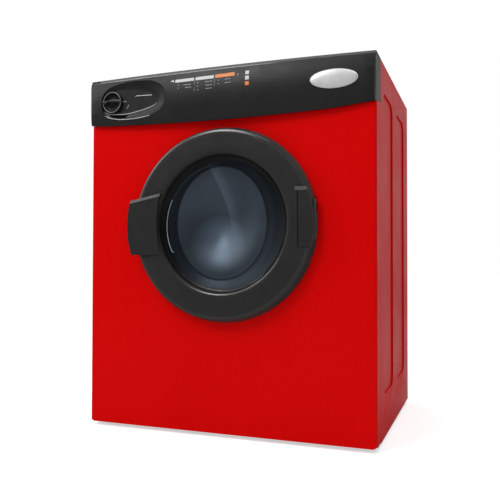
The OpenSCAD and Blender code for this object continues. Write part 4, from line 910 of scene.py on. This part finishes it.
timerKnob = {
    "body": [(0, -12.4), (4.6, -12.3), (8, -10.6), (11, -9.8), (15, -10.7), (18.2, -13), (19.6, -14.2),
             (20.4, -14.5), (21.2, -14), (21.8, -12.6), (22, -10), (22, -4), (21.6, -1), (0, -1)],
    "rim": [(19.7, -14.1), (19.9, -14.9), (20.6, -15.2), (21.3, -14.8), (21.5, -14.1), (20.6, -13.7)],
    # offset from the knob's middle: x, lower edge, upper edge
    "ridge": [(-22, -5, 6.6), (-15, -3.2, 5.4), (-9.3, 0.4, 4.6), (-4, 0.3, 6.6), (1.6, -1.3, 7.8),
              (8, -2, 7.4), (15.7, -2.6, 6.2), (22, -2.9, 3.6)],
    "ridgeFront": -16.2, "ridgeBack": -8, "rows": 9, "columns": 41,
}


def makeTimerKnob():
    spec = timerKnob
    body = spunProfile(spec["body"], knobX, knobZ, 96)
    makePiece("knob_body", body, knobBlack, "timer", ["timer_knob"], 35)
    rim = spunProfile(spec["rim"], knobX, knobZ, 96)
    makePiece("knob_rim", rim, brightRim, "timer", (), 60)
    # wavy ridge across the knob, turned by the fingers
    bm = bmesh.new()
    grid = []
    knots = spec["ridge"]
    for i in range(spec["columns"]):
        across = knots[0][0] + (knots[-1][0] - knots[0][0]) * i / (spec["columns"] - 1)
        for (fromX, fromLow, fromHigh), (toX, toLow, toHigh) in zip(knots, knots[1:]):
            if fromX <= across <= toX:
                t = (across - fromX) / (toX - fromX)
                t = t * t * (3 - 2 * t)
                low, high = fromLow + (toLow - fromLow) * t, fromHigh + (toHigh - fromHigh) * t
        reach = 1 - 0.06 * abs(across / knots[-1][0]) ** 6
        column = []
        for k in range(spec["rows"]):
            up = 2 * k / (spec["rows"] - 1) - 1
            crown = (1 - abs(up) ** 3) ** 0.5
            y = spec["ridgeBack"] + (spec["ridgeFront"] - spec["ridgeBack"]) * crown * reach
            z = knobZ + (low + high) / 2 + up * (high - low) / 2
            column.append(bm.verts.new(at(knobX + across, y, z)))
        grid.append(column)
    bridgeRings(bm, grid)
    bm.faces.new(grid[0])
    bm.faces.new(grid[-1])
    makePiece("knob_grip", bm, knobRidge, "timer", (), 50)


badgeShape = {"edge": 0.9, "dome": 1.6, "rings": 8, "size": (0.973, 0.985), "drop": 1, "shift": 0.4}


def makeBadge():
    spec = badgeShape
    low, high = placeOf(badgeLow), placeOf(badgeHigh)
    midX, midZ = (low.x + high.x) / 2 + spec["shift"], (low.z + high.z) / 2 - spec["drop"]
    halfW, halfH = (high.x - low.x) / 2 * spec["size"][0], (high.z - low.z) / 2 * spec["size"][1]
    bm = bmesh.new()
    bmesh.ops.create_circle(bm, cap_ends=True, cap_tris=True, segments=96, radius=1)
    bmesh.ops.subdivide_edges(bm, edges=[e for e in bm.edges if not e.is_boundary], cuts=spec["rings"],
                              use_grid_fill=True)
    for vert in bm.verts:
        across, up = vert.co.x, vert.co.y
        x, z = midX + across * halfW, midZ + up * halfH
        rise = spec["edge"] + spec["dome"] * (1 - min(math.hypot(across, up), 1) ** 4)
        vert.co = at(x, bulgeY(x, z) - rise, z)
    badge = makePiece("badge_oval", bm, silverOval, "cabinet", ["badge_plate"], 60)
    addWall(badge, spec["edge"], -1)


makeDialDish()
makeDialTrims()
makeTimerKnob()
makeLegend()
makeBadge()
makeFascia()
print("fascia ready")


cabinetShape = {
    # upright corners: half the width, radius, power of their outline
    "half": 297.5, "radius": 9, "power": 5,
    # upper ends of the wrapped front
    "endsFrom": 280, "tipsFrom": 296,
    # its rounded lower corners
    "lowFrom": 288.5, "lowWide": 9, "lowRise": 5, "lowDepth": 9.5,
}


# tightens the rounded upright corners of a panel
def tightenCorners(piece):
    half, radius, power = [cabinetShape[key] for key in ("half", "radius", "power")]
    for vert in piece.data.vertices:
        x, y = vert.co.x / mm, (vert.co.y - frontY) / mm
        dx, dy = half - radius - abs(x), radius - y
        if dx < 0 and dy > 0:
            c, s = -dx / math.hypot(dx, dy), dy / math.hypot(dx, dy)
            grow = (c ** power + s ** power) ** (-1 / power)
            vert.co.x = math.copysign(half - radius - dx * grow, x) * mm
            vert.co.y = frontY + (radius - dy * grow) * mm


def makeCabinet():
    spec = cabinetShape
    for side in ("side_panel_left", "side_panel_right"):
        tightenCorners(softened(side, redEnamel, 1.1, 3, 35))
    wrap = softened("front_panel", redEnamel, 0.3, 2, 35)
    tightenCorners(wrap)
    places = [placeOf(vert.co) for vert in wrap.data.vertices]
    top = max(place.z for place in places if abs(place.x) > spec["tipsFrom"])
    for vert, place in zip(wrap.data.vertices, places):
        # the wrapped ends reach up to the fascia's lower edge
        if abs(place.z - top) < 0.6 and abs(place.x) > spec["endsFrom"]:
            vert.co.z = skirtZ + liftedZ(*place) * mm
        elif place.z < 1 and place.y < spec["lowDepth"]:
            turn = clamp((abs(place.x) - spec["lowFrom"]) / spec["lowWide"])
            vert.co.z += spec["lowRise"] * turn ** 2 * mm
    wrap.data.materials.append(frontEnamel)
    for face in wrap.data.polygons:
        if face.normal.y < -0.9:
            face.material_index = 1
    softened("top_panel", redEnamel, 0.3, 2, 35)


makeCabinet()
print("cabinet ready")

studio = {
    "place": (0.47997, -1.36579, 0.33867), "turn": (91.14, -0.11, 20.478), "lens": 45.64,
    # strength of the surroundings on matt surfaces
    "soft": 0.55,
    # and on mirror-like ones: towards the front and the back, with a bright panel
    "room": (0.1, 0.4), "roomTurn": (-0.35, 0.35),
    "panel": 0.9, "panelAim": (-0.8, 0.15, 0.58), "panelEdge": (0.4, 0.8),
    # the floor's colour, its glow to the camera, and its brightness in mirror-like surfaces, front and back
    "floor": (0.86, 0.86, 0.86, 1), "floorGlow": 0.55, "floorShine": (0.28, 0.55), "floorTurn": (-0.2, 0.2),
}


def makeCamera():
    data = bpy.data.cameras.new("camera")
    data.lens = studio["lens"]
    data.sensor_width = 36
    data.clip_start = 0.05
    data.clip_end = 100
    viewer = addObject("camera", data)
    viewer.location = studio["place"]
    viewer.rotation_euler = [math.radians(a) for a in studio["turn"]]
    bpy.context.scene.camera = viewer


lamps = [
    # name, place, aim, width, height, power
    ("frontSoftbox", (-0.87, -1.88, 2.35), (0, -0.24, 0.55), 0.8, 1.2, 30.5),
    ("leftSoftbox", (-2.06, -1.16, 1.75), (-0.1, -0.24, 0.5), 0.9, 0.9, 7),
    ("sideFill", (0.98, 0, 2.3), (0.85, 0, 0), 0.9, 0.9, 5),
    ("topSoftbox", (0.2, -0.4, 2.7), (0, -0.1, 0.5), 1.4, 1.4, 9),
]


def makeLamps():
    for name, place, aim, width, height, power in lamps:
        data = bpy.data.lights.new(name, "AREA")
        data.shape = "RECTANGLE"
        data.size = width
        data.size_y = height
        data.energy = power
        lamp = addObject(name, data)
        lamp.location = place
        lamp.rotation_euler = (Vector(aim) - Vector(place)).to_track_quat("-Z", "Y").to_euler()


# white to the camera; lights softly, and a darker room lies behind the camera for mirror-like rays
def makeWorld():
    world = bpy.data.worlds.new("studio")
    bpy.context.scene.world = world
    world.use_nodes = True
    tree = world.node_tree
    path = addNode(tree, "LightPath", {}).outputs
    facing = addNode(tree, "TexCoord", {}).outputs["Generated"]
    axes = addNode(tree, "SeparateXYZ", {"Vector": facing}).outputs
    room = addRange(tree, axes["Y"], *studio["room"], *studio["roomTurn"])
    aimed = addNode(tree, "VectorMath", {0: facing, 1: studio["panelAim"]}, operation="DOT_PRODUCT")
    panel = addRange(tree, aimed.outputs["Value"], 0, studio["panel"], *studio["panelEdge"])
    lit = addNode(tree, "Math", {0: room, 1: panel}, operation="ADD")
    mirrored = addNode(tree, "Math", {0: path["Is Glossy Ray"], 1: path["Is Transmission Ray"]},
                       operation="MAXIMUM")
    unseen = addNode(tree, "Mix", {"Factor": mirrored.outputs["Value"], "A": studio["soft"],
                                   "B": lit.outputs["Value"]})
    strength = addNode(tree, "Mix", {"Factor": path["Is Camera Ray"], "A": unseen.outputs["Result"], "B": 1})
    fill(tree, tree.nodes["Background"], {"Strength": strength.outputs["Result"], "Color": (1, 1, 1, 1)})


# pale floor, brighter to the camera and darker to mirror-like rays
def makeFloor():
    bm = bmesh.new()
    bmesh.ops.create_grid(bm, x_segments=2, y_segments=2, size=15)
    floor = addObject("floor", meshFrom("floor", bm))
    material, tree, shader, coords = newMaterial("paleFloor")
    path = addNode(tree, "LightPath", {}).outputs
    axes = addNode(tree, "SeparateXYZ", {"Vector": coords}).outputs
    shine = addRange(tree, axes["Y"], *studio["floorShine"], *studio["floorTurn"])
    pale = addNode(tree, "Mix", {"Factor": path["Is Glossy Ray"], "A": studio["floor"], "B": shine},
                   data_type="RGBA")
    fill(tree, shader, {"Base Color": pale.outputs["Result"], "Roughness": 0.9, "Specular IOR Level": 0})
    glow = addNode(tree, "Emission", {"Strength": studio["floorGlow"]})
    both = addNode(tree, "AddShader", {0: shader.outputs["BSDF"], 1: glow.outputs["Emission"]})
    pick = addNode(tree, "MixShader", {"Fac": path["Is Camera Ray"], 1: shader.outputs["BSDF"],
                                       2: both.outputs["Shader"]})
    fill(tree, tree.nodes["Material Output"], {"Surface": pick.outputs["Shader"]})
    floor.data.materials.append(material)


makeCamera()
makeLamps()
makeWorld()
makeFloor()
bpy.context.scene.view_settings.view_transform = "Standard"
print("studio ready")
